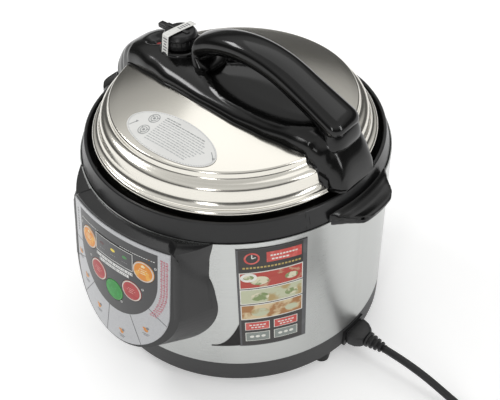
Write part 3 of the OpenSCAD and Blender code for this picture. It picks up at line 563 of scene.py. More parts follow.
class COOKER_OT_camera(bpy.types.Operator):
    """Places the camera."""

    bl_idname = "cooker.camera"
    bl_label = "Camera"

    def execute(self, context):
        azimuth, height, roll = math.radians(42.0), math.radians(42.03), math.radians(-2.09)
        back = Vector((math.sin(azimuth) * math.cos(height), -math.cos(azimuth) * math.cos(height),
                       math.sin(height)))
        right = Vector((0, 0, 1)).cross(back).normalized()
        up = back.cross(right)
        side = right * math.cos(roll) + up * math.sin(roll)
        top = up * math.cos(roll) - right * math.sin(roll)
        spot = Vector((0, 0, 0.1437)) + back * 0.7674 + side * 0.0114 - top * 0.02805
        data = bpy.data.cameras.new("camera")
        data.lens = 61.2
        data.sensor_width = 36
        data.clip_start, data.clip_end = 0.05, 50
        camera = bpy.data.objects.new("camera", data)
        camera.matrix_world = Matrix.Translation(spot) @ Matrix((side, top, back)).transposed().to_4x4()
        context.scene.collection.objects.link(camera)
        context.scene.camera = camera
        return {"FINISHED"}


class COOKER_OT_mains_lead(bpy.types.Operator):
    """Makes the mains lead, its ribbed connector and its plug."""

    bl_idname = "cooker.mains_lead"
    bl_label = "Mains lead"

    def execute(self, context):
        sizes = context.scene.cooker_sizes
        pvc = plastic("cord_pvc", (0.016, 0.016, 0.017, 1), 0.42, grain=1800, depth=0.08, dust=0.08)
        line = [p * MM for p in cord_line()]
        curve = bpy.data.curves.new("mains_lead", "CURVE")
        curve.dimensions = "3D"
        curve.bevel_depth = sizes.cord_diameter / 2
        curve.bevel_resolution = 4
        curve.use_fill_caps = True
        spline = curve.splines.new("POLY")
        spline.points.add(len(line) - 1)
        for point, place in zip(spline.points, line):
            point.co = (*place, 1)
        lead = bpy.data.objects.new("mains_lead", curve)
        context.scene.collection.objects.link(lead)
        curve.materials.append(pvc)
        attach(lead, "power_lead")
        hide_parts("cord", "cord_coil")

        bm = bmesh.new()
        stations = []
        for at, half_w, half_h, square in [(131, 11.3, 6.4, 7), (137.5, 11.3, 6.4, 7), (138, 12.4, 7.6, 6),
                                           (139.5, 12.6, 7.9, 6), (145, 11.8, 7.6, 5), (149.5, 9.2, 6.9, 4),
                                           (151.2, 7.4, 6.4, 3), (151.6, 5.6, 5.2, 2.4)]:
            stations.append(((at, 0, INLET_HEIGHT), (0, 1, 0), (0, 0, 1), half_w, half_h, square))
        for i in range(4):
            at, big = 151.8 + i * 4.4, 7.4 - i * 0.75
            for step, size in ((0, big - 2.2), (0.6, big - 0.2), (1.6, big), (2.6, big - 0.2),
                               (3.1, big - 2.2)):
                stations.append(((at + step, 0, INLET_HEIGHT), (0, 1, 0), (0, 0, 1), size, size * 0.92, 2.2))
        stations.append(((170.5, 0, INLET_HEIGHT), (0, 1, 0), (0, 0, 1), 3.9, 3.9, 2))
        sweep(bm, stations, 32)
        connector = finish_piece("lead_connector", bm, "power_lead", [pvc], 40,
                                 ("cord_connector",))

        bm = bmesh.new()
        stations = [((288.5 - at, -92, 7), (0, 1, 0), (0, 0, 1), w, h, q) for at, w, h, q in
                    [(0, 3.9, 3.9, 2), (8, 4.6, 4.4, 2), (14, 5.4, 5.0, 2.2), (18, 6.6, 5.8, 2.6),
                     (24, 7.4, 6.4, 3), (31, 7.6, 6.5, 3), (33, 8.8, 6.7, 4), (36, 9.0, 6.8, 4),
                     (37.6, 8.6, 6.4, 4)]]
        sweep(bm, stations, 28)
        pin_metal = metal("pin_nickel", (0.62, 0.60, 0.56, 1), 0.25)
        for y in (-98, -86):
            stations = [((251 - at, y, 7), (0, 1, 0), (0, 0, 1), r, r, 2) for at, r in
                        [(-3, 2.3), (9, 2.3), (9.2, 1.95), (18, 1.95), (19.4, 1.5), (20, 0.6)]]
            sweep(bm, stations, 18, 1)
        plug = finish_piece("lead_plug", bm, "power_lead", [pvc, pin_metal], 40, ("mains_plug",))
        return {"FINISHED"}


# ---------------------------------------------------------------- lid
class COOKER_OT_lid(bpy.types.Operator):
    """Spins the stepped steel lid, with its rolled rim and its lugs."""

    bl_idname = "cooker.lid"
    bl_label = "Lid"

    def execute(self, context):
        colours = context.scene.cooker_colours
        steel = metal("lid_polished_steel", colours.lid_steel, 0.17, (220, 220, 220), 0.01, 0.08)
        outside = [(DOME_EDGE * i / 12, dome(DOME_EDGE * i / 12)) for i in range(12)]
        outside += fillet([(102.0, dome(102.0))] + LID_EDGE, 1.6, 4)[1:]
        bead = [(119.0 + 3.2 * math.cos(a), 200.0 + 3.2 * math.sin(a)) for a in
                (math.radians(d) for d in range(75, -95, -15))]
        skirt = [(120.0, 196.6), (120.0, 180.4), (119.6, 179.6), (119.1, 179.6), (118.8, 180.4),
                 (118.8, 198.0), (115.0, 202.0)]
        inside = [(113.6, 205.0), (112.6, 214.4), (110.8, 217.6), (104.2, 220.0), (103.0, 226.4)]
        inside += [(DOME_EDGE * i / 12, dome(DOME_EDGE * i / 12) - 1.2) for i in range(11, -1, -1)]
        bm = bmesh.new()
        spin_outline(bm, outside + bead + skirt + inside, 160)
        for k in range(8):
            ring = bmesh.new()
            points = [(115.1, 179.8), (119.2, 179.8), (119.2, 181.7), (115.6, 181.7)]
            a0 = math.radians(k * 45 - 8)
            verts = [ring.verts.new((p[0] * MM * math.cos(a0), p[0] * MM * math.sin(a0), p[1] * MM))
                     for p in points]
            face = ring.faces.new(verts)
            bmesh.ops.spin(ring, geom=[face], cent=(0, 0, 0), axis=(0, 0, 1), angle=math.radians(18), steps=6)
            bmesh.ops.recalc_face_normals(ring, faces=ring.faces)
            mesh = bpy.data.meshes.new("lug")
            ring.to_mesh(mesh)
            ring.free()
            bm.from_mesh(mesh)
            bpy.data.meshes.remove(mesh)
        finish_piece("lid_steel_shell", bm, "lid", [steel], 40, ("lid_shell",))
        return {"FINISHED"}


BRIDGE_WIDTH = [(-131, 17), (-126, 20), (-116, 23.5), (-98, 27), (-70, 33), (-45, 38), (0, 42), (35, 43),
                (60, 40.5), (82, 35.5), (100, 31), (118, 27), (127, 23), (131, 19)]
BRIDGE_SIDE = [(-131.0, 201.5), (-130.6, 206), (-129.6, 212), (-127.6, 218.5), (-124.5, 225), (-120, 231.5),
               (-114, 237.5), (-107, 242), (-98, 245.6), (-88, 248), (-76, 249.4), (-62, 250), (-45, 250),
               (-28, 250), (-10, 250), (8, 250), (26, 250), (44, 250), (60, 250), (74, 249.6), (86, 248.6),
               (96, 246), (105, 242), (112, 237), (118, 231), (123, 224), (126.8, 216.5), (129.2, 209.5),
               (130.6, 203.5), (131.0, 201.2)]


def bridge_point(s, t):
    """A point of the bridge's outside: s along it from 0 to 1 and t across it from -1 to 1."""
    f = s * (len(BRIDGE_SIDE) - 1)
    i = min(int(f), len(BRIDGE_SIDE) - 2)
    p0 = BRIDGE_SIDE[max(i - 1, 0)]
    p1, p2 = BRIDGE_SIDE[i], BRIDGE_SIDE[i + 1]
    p3 = BRIDGE_SIDE[min(i + 2, len(BRIDGE_SIDE) - 1)]
    k = f - i
    x, z = (0.5 * (2 * b + (c - a) * k + (2 * a - 5 * b + 4 * c - d) * k * k
                   + (3 * b - a - 3 * c + d) * k ** 3)
            for a, b, c, d in zip(p0, p1, p2, p3))
    half = between(BRIDGE_WIDTH, x)
    lip = 1.6
    side = abs(t)
    if side > 0.94:
        y = half
        q = (1 - side) / 0.06 * 1.6
        edge = lid_height(math.hypot(x, y)) + 0.15
        z = min(edge + q, z)
    elif side > 0.90:
        y = half - lip * (0.94 - side) / 0.04
        edge = lid_height(math.hypot(x, y)) + 0.15
        z = min(edge + 1.6, z)
    else:
        n = side / 0.90
        y = (half - lip) * (1 - (1 - n) ** 1.25)
        edge = lid_height(math.hypot(x, y)) + 1.6
        m = y / (half - lip)
        crown = (1 - m ** 4.0) ** 0.42 if m < 1 else 0.0
        z = edge + max(0.0, z - edge) * crown if z > edge else z
    y = math.copysign(y, t)
    # hollow for the fingers, almond shaped with a raised lip
    reach = 1 - (abs(x - 38) / 70) ** (3.4 if x > 38 else 2.6)
    if reach > 0 and side < 0.9:
        inner = 33.5 * reach - abs(y)
        ridge = soft_step(inner, -2.6, -0.9) * (1 - soft_step(inner, -0.5, 0.8))
        z += ridge - 6.4 * soft_step(inner, -0.2, 3.2) - 1.6 * soft_step(inner, 3.0, 26.0)
    # scoop round the float valve
    hollow = math.hypot(x - FLOAT_X, y)
    if side < 0.9:
        z -= 5.0 * (1 - soft_step(hollow, 5.0, 14.0)) + 3.0 * (1 - soft_step(hollow, 3.2, 4.2))
    return Vector((x, y, z)) * MM


class COOKER_OT_bridge(bpy.types.Operator):
    """Shapes the black bridge across the lid, the neck under the grip's end and the valve's seat."""

    bl_idname = "cooker.bridge"
    bl_label = "Bridge"

    def execute(self, context):
        gloss = plastic("bridge_gloss_black", context.scene.cooker_colours.gloss_black, 0.14, grain=900,
                        depth=0.015, smudge=0.08, dust=0.01, shine=0.42)
        bm = bmesh.new()
        made = bmesh.ops.create_grid(bm, x_segments=170, y_segments=104, size=0.5)
        for vert in made["verts"]:
            vert.co = bridge_point(vert.co.x + 0.5, vert.co.y * 2)
        rim = [e for e in bm.edges if e.is_boundary]
        bmesh.ops.recalc_face_normals(bm, faces=bm.faces)
        up = sum(f.normal.z for f in bm.faces)
        if up < 0:
            bmesh.ops.reverse_faces(bm, faces=bm.faces)
        grown = bmesh.ops.extrude_edge_only(bm, edges=rim)
        for vert in [v for v in grown["geom"] if isinstance(v, bmesh.types.BMVert)]:
            r = math.hypot(vert.co.x, vert.co.y) / MM
            vert.co.z = max(vert.co.z - 1.2 * MM, 0.2008 if r > 118 else 0)
        lower = [e for e in bm.edges if e.is_boundary]
        bmesh.ops.holes_fill(bm, edges=lower, sides=0)
        bmesh.ops.triangulate(bm, faces=[f for f in bm.faces if len(f.verts) > 4])
        # raised seat for the steam valve
        seat = fillet([(0, 247), (19.4, 247), (18.4, 251.4), (16.4, 252.4), (0, 252.4)], 0.9, 4)
        spin_outline(bm, seat, 64, (KNOB_X, 0, 0))
        finish_piece("lid_bridge_body", bm, "lid", [gloss], 50, ("lid_bridge",))

        # neck that carries the grip's outer end
        bm = bmesh.new()
        stations = [((x, 0, z), (0, 1, 0), (1, 0, lean), half_w, half_h, 3) for x, z, lean, half_w, half_h in
                    [(105, 226, 0.1, 21, 16), (107, 233, 0.1, 19, 15), (108, 239, 0.2, 17, 13),
                     (106, 244, 0.3, 16, 12), (103, 248, 0.4, 15, 11)]]
        sweep(bm, stations, 32)
        necks = finish_piece("grip_neck", bm, "lid", [gloss], 60)
        add_subdivision(necks, 1)
        return {"FINISHED"}


class COOKER_OT_grip(bpy.types.Operator):
    """Sweeps the arched grip, wider towards its outer end."""

    bl_idname = "cooker.grip"
    bl_label = "Grip"

    def execute(self, context):
        sizes = context.scene.cooker_sizes
        gloss = plastic("grip_gloss_black", context.scene.cooker_colours.gloss_black, 0.12, grain=900,
                        depth=0.012, smudge=0.08, dust=0.01, shine=0.45)
        wide, tall = sizes.grip_width / 2 / MM, sizes.grip_height / 2 / MM
        path = [(Vector((-27, 0, 243)), Vector((-1, 0, 0))), (Vector((-27, 0, 247.5)), Vector((-1, 0, 0))),
                (Vector((-27.4, 0, 251.5)), Vector((-0.99, 0, 0.12))),
                (Vector((-28.4, 0, 255.2)), Vector((-0.93, 0, 0.36))),
                (Vector((-29.8, 0, 258.4)), Vector((-0.8, 0, 0.6)))]
        for degrees in range(120, 64, -3):
            a = math.radians(degrees)
            path.append((Vector((22 + 104 * math.cos(a), 0, 173 + 104 * math.sin(a))),
                         Vector((math.cos(a), 0, math.sin(a)))))
        start = Vector((22 + 104 * math.cos(math.radians(65)), 0, 173 + 104 * math.sin(math.radians(65))))
        along = Vector((math.sin(math.radians(65)), 0, -math.cos(math.radians(65))))
        out = Vector((math.cos(math.radians(65)), 0, math.sin(math.radians(65))))
        path += [(start + along * d, out) for d in (4, 11, 18, 25, 32, 39, 46, 49.5, 52.5, 54.7, 56.3, 57)]
        stations = []
        last = len(path) - 1
        for i, (centre, normal) in enumerate(path):
            share = i / last
            w = between([(0, 1.25), (0.06, 1.08), (0.12, 0.96), (0.2, 0.92), (0.45, 0.98), (0.7, 1.04),
                         (0.92, 1.16), (1.0, 1.14)], share)
            h = between([(0, 1.25), (0.06, 1.0), (0.12, 0.86), (0.2, 0.92), (0.5, 1.0), (0.85, 0.97),
                         (1.0, 0.92)], share)
            left_over = (path[last][0] - centre).length + 0.4
            pinch = math.sqrt(1 - (1 - min(1.0, left_over / 10)) ** 2)
            stations.append((centre, (0, 1, 0), normal, wide * w * (0.45 + 0.55 * pinch),
                             tall * h * (0.3 + 0.7 * pinch), 2.5))
        bm = bmesh.new()
        sweep(bm, stations, 40)
        grip = finish_piece("lid_grip_arch", bm, "lid", [gloss], 80, ("lid_grip",))
        add_subdivision(grip, 1)
        return {"FINISHED"}


# ---------------------------------------------------------------- steam valve, float valve, label
class COOKER_OT_valves(bpy.types.Operator):
    """Makes the steam valve's knob with its paper strip, and the float valve."""

    bl_idname = "cooker.valves"
    bl_label = "Valves"

    def execute(self, context):
        satin = plastic("knob_satin_black", context.scene.cooker_colours.satin_black, 0.3, depth=0.05)
        paper = ink("strip_paper", (0.80, 0.80, 0.77), rough=0.7, size=400)
        dash = ink("strip_print", (0.16, 0.16, 0.17), rough=0.6)
        bm = bmesh.new()
        outline = fillet([(0, 253.2), (14.6, 253.2), (15, 258), (14.2, 260.4), (14.6, 262.4),
                          (12.4, 266), (0, 266)], 1.0, 4)
        spin_outline(bm, outline, 72, (KNOB_X, 0, 0))
        block(bm, (-82, -3, 261), (-66, 3, 265.5), 1.2)
        block(bm, (-73, -2, 265.2), (-48, 2, 267.2), 0.8)
        for k in range(24):
            if k in (11, 12, 13):
                continue
            verts = block(bm, (14.2, -0.7, 254.4), (15.0, 0.7, 261.2), 0.3, 1)
            turn = Matrix.Rotation(k * math.tau / 24, 3, "Z")
            bmesh.ops.rotate(bm, verts=verts, cent=(0, 0, 0), matrix=turn)
            bmesh.ops.translate(bm, verts=verts, vec=(KNOB_X * MM, 0, 0))
        finish_piece("steam_knob_cap", bm, "valve_knob", [satin], 40, ("steam_valve_knob",))

        lean = math.radians(-98)

        def strip_place(u, v, w):
            arc = u
            if arc < 15.2:
                a, z = arc, 267.35 - 0.002 * arc * arc
            else:
                a, z = 15.2 + (arc - 15.2) * 0.16, 266.9 - (arc - 15.2) * 0.95
            x, y = a, v
            if arc >= 15.2:
                x += w
            else:
                z += w
            return Vector((KNOB_X + x * math.cos(lean) - y * math.sin(lean),
                           x * math.sin(lean) + y * math.cos(lean), z)) * MM

        bm = bmesh.new()
        lay_block(bm, 50, 8, 0.25, lambda u, v, w: strip_place(u + 10.5, v, w), 0, cuts=40)
        for k in range(5):
            lay_block(bm, 1.1, 4.6 - (k % 2), 0.06,
                      lambda u, v, w, k=k: strip_place(u - 9 + k * 2.4, v, w + 0.25), 1)
        for k in range(6):
            lay_block(bm, 1.1, 5.4 - (k % 3), 0.06,
                      lambda u, v, w, k=k: strip_place(u + 18.4 + k * 2.6, v, w + 0.25), 1)
        finish_piece("valve_paper_strip", bm, "valve_knob", [paper, dash], 30,
                     ("valve_strip",))

        red = plastic("float_red_silicone", (0.32, 0.02, 0.02, 1), 0.45)
        bm = bmesh.new()
        pin = fillet([(0, 189.6), (4.9, 189.6), (4.9, 191.7), (2.5, 192), (2.5, 241.2), (1.9, 242),
                      (0, 242)], 0.5, 3)
        spin_outline(bm, pin, 32, (FLOAT_X, 0, 0))
        finish_piece("float_pin_body", bm, "float_pin", [red], 40, ("float_valve",))
        return {"FINISHED"}


class COOKER_OT_lid_label(bpy.types.Operator):
    """Prints the plain marks of the lid's oval label."""

    bl_idname = "cooker.lid_label"
    bl_label = "Lid label"

    def execute(self, context):
        grey = ink("label_grey_lines", (0.30, 0.31, 0.31), rough=0.5)
        fine = ink("label_fine_lines", (0.48, 0.49, 0.49), rough=0.5)
        film = ink("label_white_film", (0.80, 0.80, 0.78), (0.76, 0.76, 0.74), 30, 0.55, 0.4)
        bm = bmesh.new()
        lay_disc(bm, 45.5, 0.1, lambda u, v, w: on_lid_label(u - 1, v - 1.2, w), 2, 96, 30.0, (1.0, 0.42))
        made = bmesh.ops.create_grid(bm, x_segments=24, y_segments=12, size=0.5)
        for face in list({f for v in made["verts"] for f in v.link_faces}):
            face.material_index = 2
        for vert in made["verts"]:
            a, b = vert.co.x * 2, vert.co.y * 2
            spot = (a * math.sqrt(1 - b * b / 2), b * math.sqrt(1 - a * a / 2))
            vert.co = on_lid_label(spot[0] * 31 - 1, spot[1] * 13.1 - 1.2, 0.1)
        for k in range(96):
            a = math.radians(k * 3.75)
            lay_disc(bm, 0.9, 0.05, turned(lambda u, v, w, a=a: on_lid_label(
                44.2 * math.cos(a) - 1 + u, 18.2 * math.sin(a) - 1.2 + v, w + 0.12), 0), 1, 6,
                     shape=(1.0, 0.3))
        for k in range(12):
            v = 12.2 - k * 2.25
            at = -17.5 - 0.1 * k
            stop = 31.0 - abs(v) * 0.6 if k else -4.0
            step = 0
            while at < stop:
                length = (3.4, 1.9, 2.7, 1.3, 3.0)[(step + k) % 5]
                lay_block(bm, length, 0.8, 0.05, lambda u, w, z, at=at, length=length, v=v:
                          on_lid_label(at + length / 2 + u, v + w, z + 0.12), 0 if k < 2 else 1, cuts=2)
                at += length + 0.7
                step += 1
        for mid in ((-26.4, 6.6), (-25.3, -6.8)):
            place = lambda u, v, w, mid=mid: on_lid_label(mid[0] + u, mid[1] + v, w + 0.12)
            lay_disc(bm, 4.9, 0.05, place, 0, 36, 4.3)
            lay_disc(bm, 3.1, 0.05, place, 0, 28, 2.5)
            lay_disc(bm, 1.2, 0.05, place, 0, 16)
            for a in (30, 150, 270):
                spoke = turned(place, a)
                lay_block(bm, 2.4, 0.6, 0.05, lambda u, v, w, spoke=spoke: spoke(u + 3.4, v, w), 0, cuts=2)
        for u0, v0, angle in ((-39.0, -5.6, 62), (39.0, 3.0, -38)):
            shaft = turned(lambda u, v, w, u0=u0, v0=v0: on_lid_label(u0 + u, v0 + v, w + 0.12), angle)
            lay_block(bm, 6.5, 0.6, 0.05, shaft, 0, cuts=3)
            lay_disc(bm, 1.5, 0.05, lambda u, v, w, shaft=shaft: shaft(u + 3.6, v, w), 0, 3)
        finish_piece("lid_label_print", bm, "lid", [grey, fine, film], 30, ("lid_label",))
        return {"FINISHED"}


# ---------------------------------------------------------------- handles
class COOKER_OT_side_handles(bpy.types.Operator):
    """Shapes the dished tops and rounded undersides of the two side handles."""

    bl_idname = "cooker.side_handles"
    bl_label = "Side handles"

    def execute(self, context):
        colours = context.scene.cooker_colours
        gloss = plastic("handle_gloss_black", colours.gloss_black, 0.2, depth=0.03, dust=0.02, shine=0.4)
        satin = plastic("handle_satin_black", colours.satin_black, 0.36, depth=0.05)
        for name, sign in (("right", 1), ("left", -1)):
            for layer, mat, slot in (("top", gloss, "black_gloss"), ("base", satin, "black_satin")):
                bm = bmesh.new()
                bmesh.ops.create_grid(bm, x_segments=26, y_segments=36, size=0.5)
                faces = list(bm.faces)
                raised = bmesh.ops.extrude_face_region(bm, geom=faces)
                top = {v for v in raised["geom"] if isinstance(v, bmesh.types.BMVert)}
                for vert in bm.verts:
                    s, t = vert.co.x + 0.5, vert.co.y * 2
                    inset = 0.0 if layer == "top" else 0.9
                    half = between([(0, 37.5), (0.15, 34.0), (0.4, 29.0), (0.7, 25.0), (0.9, 22.0),
                                    (1.0, 18.6)], s) - inset
                    y = half * t
                    # the outer edge bows and its corners are rounded
                    reach = 153.0 - inset - 1.6 * t * t - 3.4 * abs(t) ** 7
                    root = math.sqrt(134.9 ** 2 - y * y) - 0.2
                    x = root + (reach - root) * s
                    edge = max(abs(t) ** 10, s ** 14)
                    if layer == "top":
                        high = between([(0, 191.0), (0.2, 188.4), (0.5, 186.6), (0.85, 186.5), (1, 186.2)], s)
                        hollow = 1.5 * (1 - abs(t) ** 3) * math.sin(math.pi * min(1, s * 1.02))
                        dish = hollow if s < 0.98 else 0
                        z = (high - dish - 1.2 * edge) if vert in top else 183.2
                    else:
                        z = 182.8 if vert in top else 175.8 + 3.4 * edge + 2.0 * s
                    vert.co = Vector((sign * x, sign * y, z)) * MM
                bmesh.ops.recalc_face_normals(bm, faces=bm.faces)
                sharp = [e for e in bm.edges if e.calc_face_angle(0) > math.radians(55)]
                bmesh.ops.bevel(bm, geom=sharp, offset=0.7 * MM, affect="EDGES", segments=2, profile=0.5,
                                material=-1, clamp_overlap=True)
                finish_piece(f"handle_{name}_{layer}_shell", bm, "cooker", [mat], 50,
                             (f"handle_{name}_{layer}",))
        return {"FINISHED"}


# ---------------------------------------------------------------- control panel
def face_film():
    """The panel's printed film: a dark shield on a pale metallic ground."""
    parts = blank_material("panel_printed_film")
    mat, nodes, links, shader = parts
    place = nodes.new("ShaderNodeTexCoord")
    split = nodes.new("ShaderNodeSeparateXYZ")
    links.new(place.outputs["Object"], split.inputs[0])
    across = math_node(nodes, links, "MULTIPLY", split.outputs["X"], split.outputs["X"])
    high = math_node(nodes, links, "SUBTRACT", split.outputs["Z"], FACE_Z * MM)
    high = math_node(nodes, links, "MULTIPLY_ADD", across, 0.424, high)
    high = math_node(nodes, links, "DIVIDE", high, math.cos(TILT))
    fall = math_node(nodes, links, "SUBTRACT", 0.024, high)
    fall = math_node(nodes, links, "MAXIMUM", fall, 0.0)
    fall = math_node(nodes, links, "DIVIDE", fall, 0.049)
    fall = math_node(nodes, links, "MULTIPLY", fall, fall)
    wide = math_node(nodes, links, "DIVIDE", across, 0.0445 ** 2)
    total = math_node(nodes, links, "ADD", wide, fall)
    shield = math_node(nodes, links, "LESS_THAN", total, 1.0)
    cap = math_node(nodes, links, "LESS_THAN", high, 0.0545)
    shield = math_node(nodes, links, "MULTIPLY", shield, cap)
    grain = nodes.new("ShaderNodeTexNoise")
    grain.inputs["Scale"].default_value = 900
    grain.inputs["Detail"].default_value = 2
    links.new(place.outputs["Object"], grain.inputs["Vector"])
    silver = nodes.new("ShaderNodeMix")
    silver.data_type = "RGBA"
    links.new(grain.outputs["Fac"], silver.inputs["Factor"])
    silver.inputs["A"].default_value = (0.40, 0.405, 0.42, 1)
    silver.inputs["B"].default_value = (0.56, 0.565, 0.58, 1)
    mix = nodes.new("ShaderNodeMix")
    mix.data_type = "RGBA"
    links.new(shield, mix.inputs["Factor"])
    links.new(silver.outputs["Result"], mix.inputs["A"])
    mix.inputs["B"].default_value = (0.026, 0.026, 0.028, 1)
    links.new(mix.outputs["Result"], shader.inputs["Base Color"])
    gloss = math_node(nodes, links, "MULTIPLY_ADD", grain.outputs["Fac"], 0.1, 0.28)
    links.new(gloss, shader.inputs["Roughness"])
    shader.inputs["Coat Weight"].default_value = 0.25
    shader.inputs["Coat Roughness"].default_value = 0.15
    return mat


class COOKER_OT_panel(bpy.types.Operator):
    """Prints the panel's marks, the display and its lamps, and makes the keys."""

    bl_idname = "cooker.panel"
    bl_label = "Control panel"

    def execute(self, context):
        colours = context.scene.cooker_colours
        white = ink("print_white", (0.78, 0.78, 0.76))
        dark = ink("print_dark_line", (0.045, 0.045, 0.05))
        orange = ink("print_orange", (0.75, 0.30, 0.04), (0.45, 0.16, 0.03), 900, 0.55)
        pink = ink("print_pink_red", (0.48, 0.04, 0.09), (0.55, 0.16, 0.2), 700, 0.5)
        grey = ink("print_grey", (0.20, 0.20, 0.21))
        bm = bmesh.new()

        def dash(u, v, length, width, mat, angle=0.0, lift=0.03):
            spot = turned(lambda a, b, w: on_face(u + a, v + b, w + lift), angle)
            lay_block(bm, length, width, 0.06, spot, mat, cuts=max(1, int(length / 3)))

        # dividing lines across the pale ground
        for a in [186, 206, 234, 262, 291, 322]:
            c, s = math.cos(math.radians(a)), math.sin(math.radians(a))
            inner = 1 / math.sqrt((c / 44.5) ** 2 + (s / 49) ** 2)
            r0 = inner if s < 0 else 46
            base_v = 24
            start = (r0 * c, base_v + r0 * s)
            reach = 0
            while reach < 70:
                u, v = start[0] + c * reach, start[1] + s * reach
                low = max(0.0, -3.6 - v)
                if math.hypot(u, low) > 54.0:
                    break
                reach += 0.5
            mid = reach / 2
            dash(start[0] + c * mid, start[1] + s * mid, reach, 0.5, 1, a)
        # small pictures between the lines
        for a, r in ((196, 50), (220, 51), (248, 56), (277, 62), (306, 57)):
            u, v = r * math.cos(math.radians(a)), 20 + r * math.sin(math.radians(a)) * 1.08
            spot = lambda p, q, w, u=u, v=v: on_face(u + p, v + q, w + 0.03)
            lay_disc(bm, 2.6, 0.06, turned(spot, a), 2, 12, shape=(1.0, 0.75))
            lay_disc(bm, 1.5, 0.08, lambda p, q, w, spot=spot: spot(p + 1.6, q + 2.0, w), 4, 8)
            lay_disc(bm, 1.0, 0.08, lambda p, q, w, spot=spot: spot(p - 2.2, q + 1.6, w), 2, 8)
            for k in (0, 1):
                dash(u, v - 4.6 - 1.6 * k, 7 - 2.4 * k, 0.7, 4)
        # column of red and pink marks on the right, and grey marks on the left
        for k in range(24):
            v = 50.5 - k * 2.6
            lean = max(0.0, 20 - v) ** 2 * 0.011
            for j in range(3):
                dash(47.6 - lean + j * 2.3, v - 0.4 * j, 1.7 + 0.4 * math.cos(k * 1.7 + j * 2), 0.75, 3,
                     8 + 25 * ((k + j) % 2))
                dash(48.0 - lean + j * 2.3, v - 1.1 - 0.4 * j, 1.2 + 0.4 * math.sin(k * 2.9 + j), 0.6, 3, 5)
        for k in range(9):
            dash(-49.4, 50 - k * 2.7, 1.7 + 0.5 * math.sin(k * 2.0), 1.3, 4, 8)
        # fine white lines at the top of the shield
        for k in range(11):
            dash(-41 + k * 2.2, 46.6, 1.5, 0.6, 0)
        for k in range(16):
            dash(9 + k * 2.15, 46.6, 1.5, 0.6, 2 if k == 13 else 0)
        # frame round the display
        for v in (27.2, 44.4):
            dash(0, v, 42, 0.55, 0)
        for u in (-21, 21):
            dash(u, 35.8, 17.2, 0.55, 0, 90)
        # two hatched bars under it
        for v, half in ((23.6, 21), (19.6, 17)):
            dash(0, v, 2 * half, 2.9, 0)
            for k in range(int(half * 2 / 1.9)):
                length, width = 0.75 + 0.4 * math.sin(k * 2.7), 1.5 + 0.5 * math.cos(k * 1.9)
                dash(-half + 1.2 + k * 1.9, v, length, width, 4, 0, 0.1)
        # small marks beside the keys
        for u, v in ((-42.5, 41), (42.6, 40), (-30.5, 14), (30.8, 13), (8.4, -12)):
            spot = lambda p, q, w, u=u, v=v: on_face(u + p, v + q, w + 0.03)
            lay_disc(bm, 1.1, 0.06, spot, 0, 10, 0.7)
        finish_piece("panel_print_marks", bm, "cooker",
                     [white, dark, orange, pink, grey], 30)

        # display glass with three lamps behind it
        glass, nodes, links, shader = blank_material("display_smoked")
        wire((glass, nodes, links, shader), "moulded",
             {"Colour": (0.012, 0.012, 0.014, 1), "Roughness": 0.1, "Grain depth": 0.0, "Smudge": 0.08,
              "Dust": 0.0})
        shader.inputs["Coat Weight"].default_value = 0.5
        bm = bmesh.new()
        lay_block(bm, 40.6, 16.6, 0.12, lambda u, v, w: on_face(u, v + 35.8, w + 0.02), 0, cuts=14)
        for k, u in enumerate((-13, 0, 13)):
            lay_disc(bm, 2.1, 0.05, lambda a, b, w, u=u: on_face(u + a, 37.6 + b, w + 0.14), k + 1, 16,
                     shape=(1.2, 0.7))
            for j in range(3):
                lay_block(bm, 1.5, 0.6, 0.05,
                          lambda a, b, w, u=u, j=j: on_face(u - 2.2 + j * 2.2 + a, 32.4 + b, w + 0.14), 4)
        lamps = [ink("lamp_dim", (0.10, 0.045, 0.045)), ink("lamp_amber", (0.62, 0.48, 0.06), glow=0.3),
                 ink("lamp_green", (0.05, 0.22, 0.06), glow=0.1), ink("display_print", (0.25, 0.25, 0.26))]
        finish_piece("display_glass", bm, "cooker", [glass] + lamps, 30, ("display_window",))

        # keys: domed printed discs with a pale ring
        spots = {"upper_left": (-31.5, 32, "orange"), "upper_right": (31.5, 32, "orange"),
                 "lower_left": (-19.5, 6, "red"), "lower_right": (19.5, 6, "red"), "start": (0, -4, "green")}
        shades = {"orange": (tuple(colours.key_orange)[:3], (0.80, 0.40, 0.06)),
                  "red": (tuple(colours.key_red)[:3], (0.46, 0.05, 0.05)),
                  "green": (tuple(colours.key_green)[:3], (0.02, 0.33, 0.05))}
        radius = context.scene.cooker_sizes.key_radius / MM
        for name, (u, v, shade) in spots.items():
            first, second = shades[shade]
            face = ink(f"key_film_{shade}", first, second, 160, 0.52, 0.28)
            ring = ink(f"key_ring_{shade}", (0.62, 0.56, 0.50) if shade != "green" else (0.05, 0.30, 0.06))
            mark = ink(f"key_mark_{shade}", {"orange": (0.82, 0.70, 0.42), "red": (0.62, 0.26, 0.24),
                                             "green": (0.03, 0.22, 0.04)}[shade])
            bm = bmesh.new()
            bmesh.ops.create_circle(bm, cap_ends=True, cap_tris=False, segments=48, radius=radius)
            top = bm.faces[:]
            for size, height in ((0.985, 0.16), (0.93, 0.30), (0.92, 0.22), (0.86, 0.26), (0.6, 0.36),
                                 (0.3, 0.42)):
                face_now = top[0]
                bmesh.ops.inset_individual(bm, faces=[face_now], thickness=0.0001)
                for vert in face_now.verts:
                    a = math.atan2(vert.co.y, vert.co.x)
                    vert.co = (radius * size * math.cos(a), radius * size * math.sin(a), height)
            for f in bm.faces:
                r = f.calc_center_median().xy.length / radius
                f.material_index = 0
                if 0.905 < max(v2.co.xy.length for v2 in f.verts) / radius < 0.95 or 0.95 < r < 0.99:
                    f.material_index = 1
            skirt = [e for e in bm.edges if e.is_boundary]
            grown = bmesh.ops.extrude_edge_only(bm, edges=skirt)
            for vert in grown["geom"]:
                if isinstance(vert, bmesh.types.BMVert):
                    vert.co.z = -2.0
            bottom = [e for e in bm.edges if e.is_boundary]
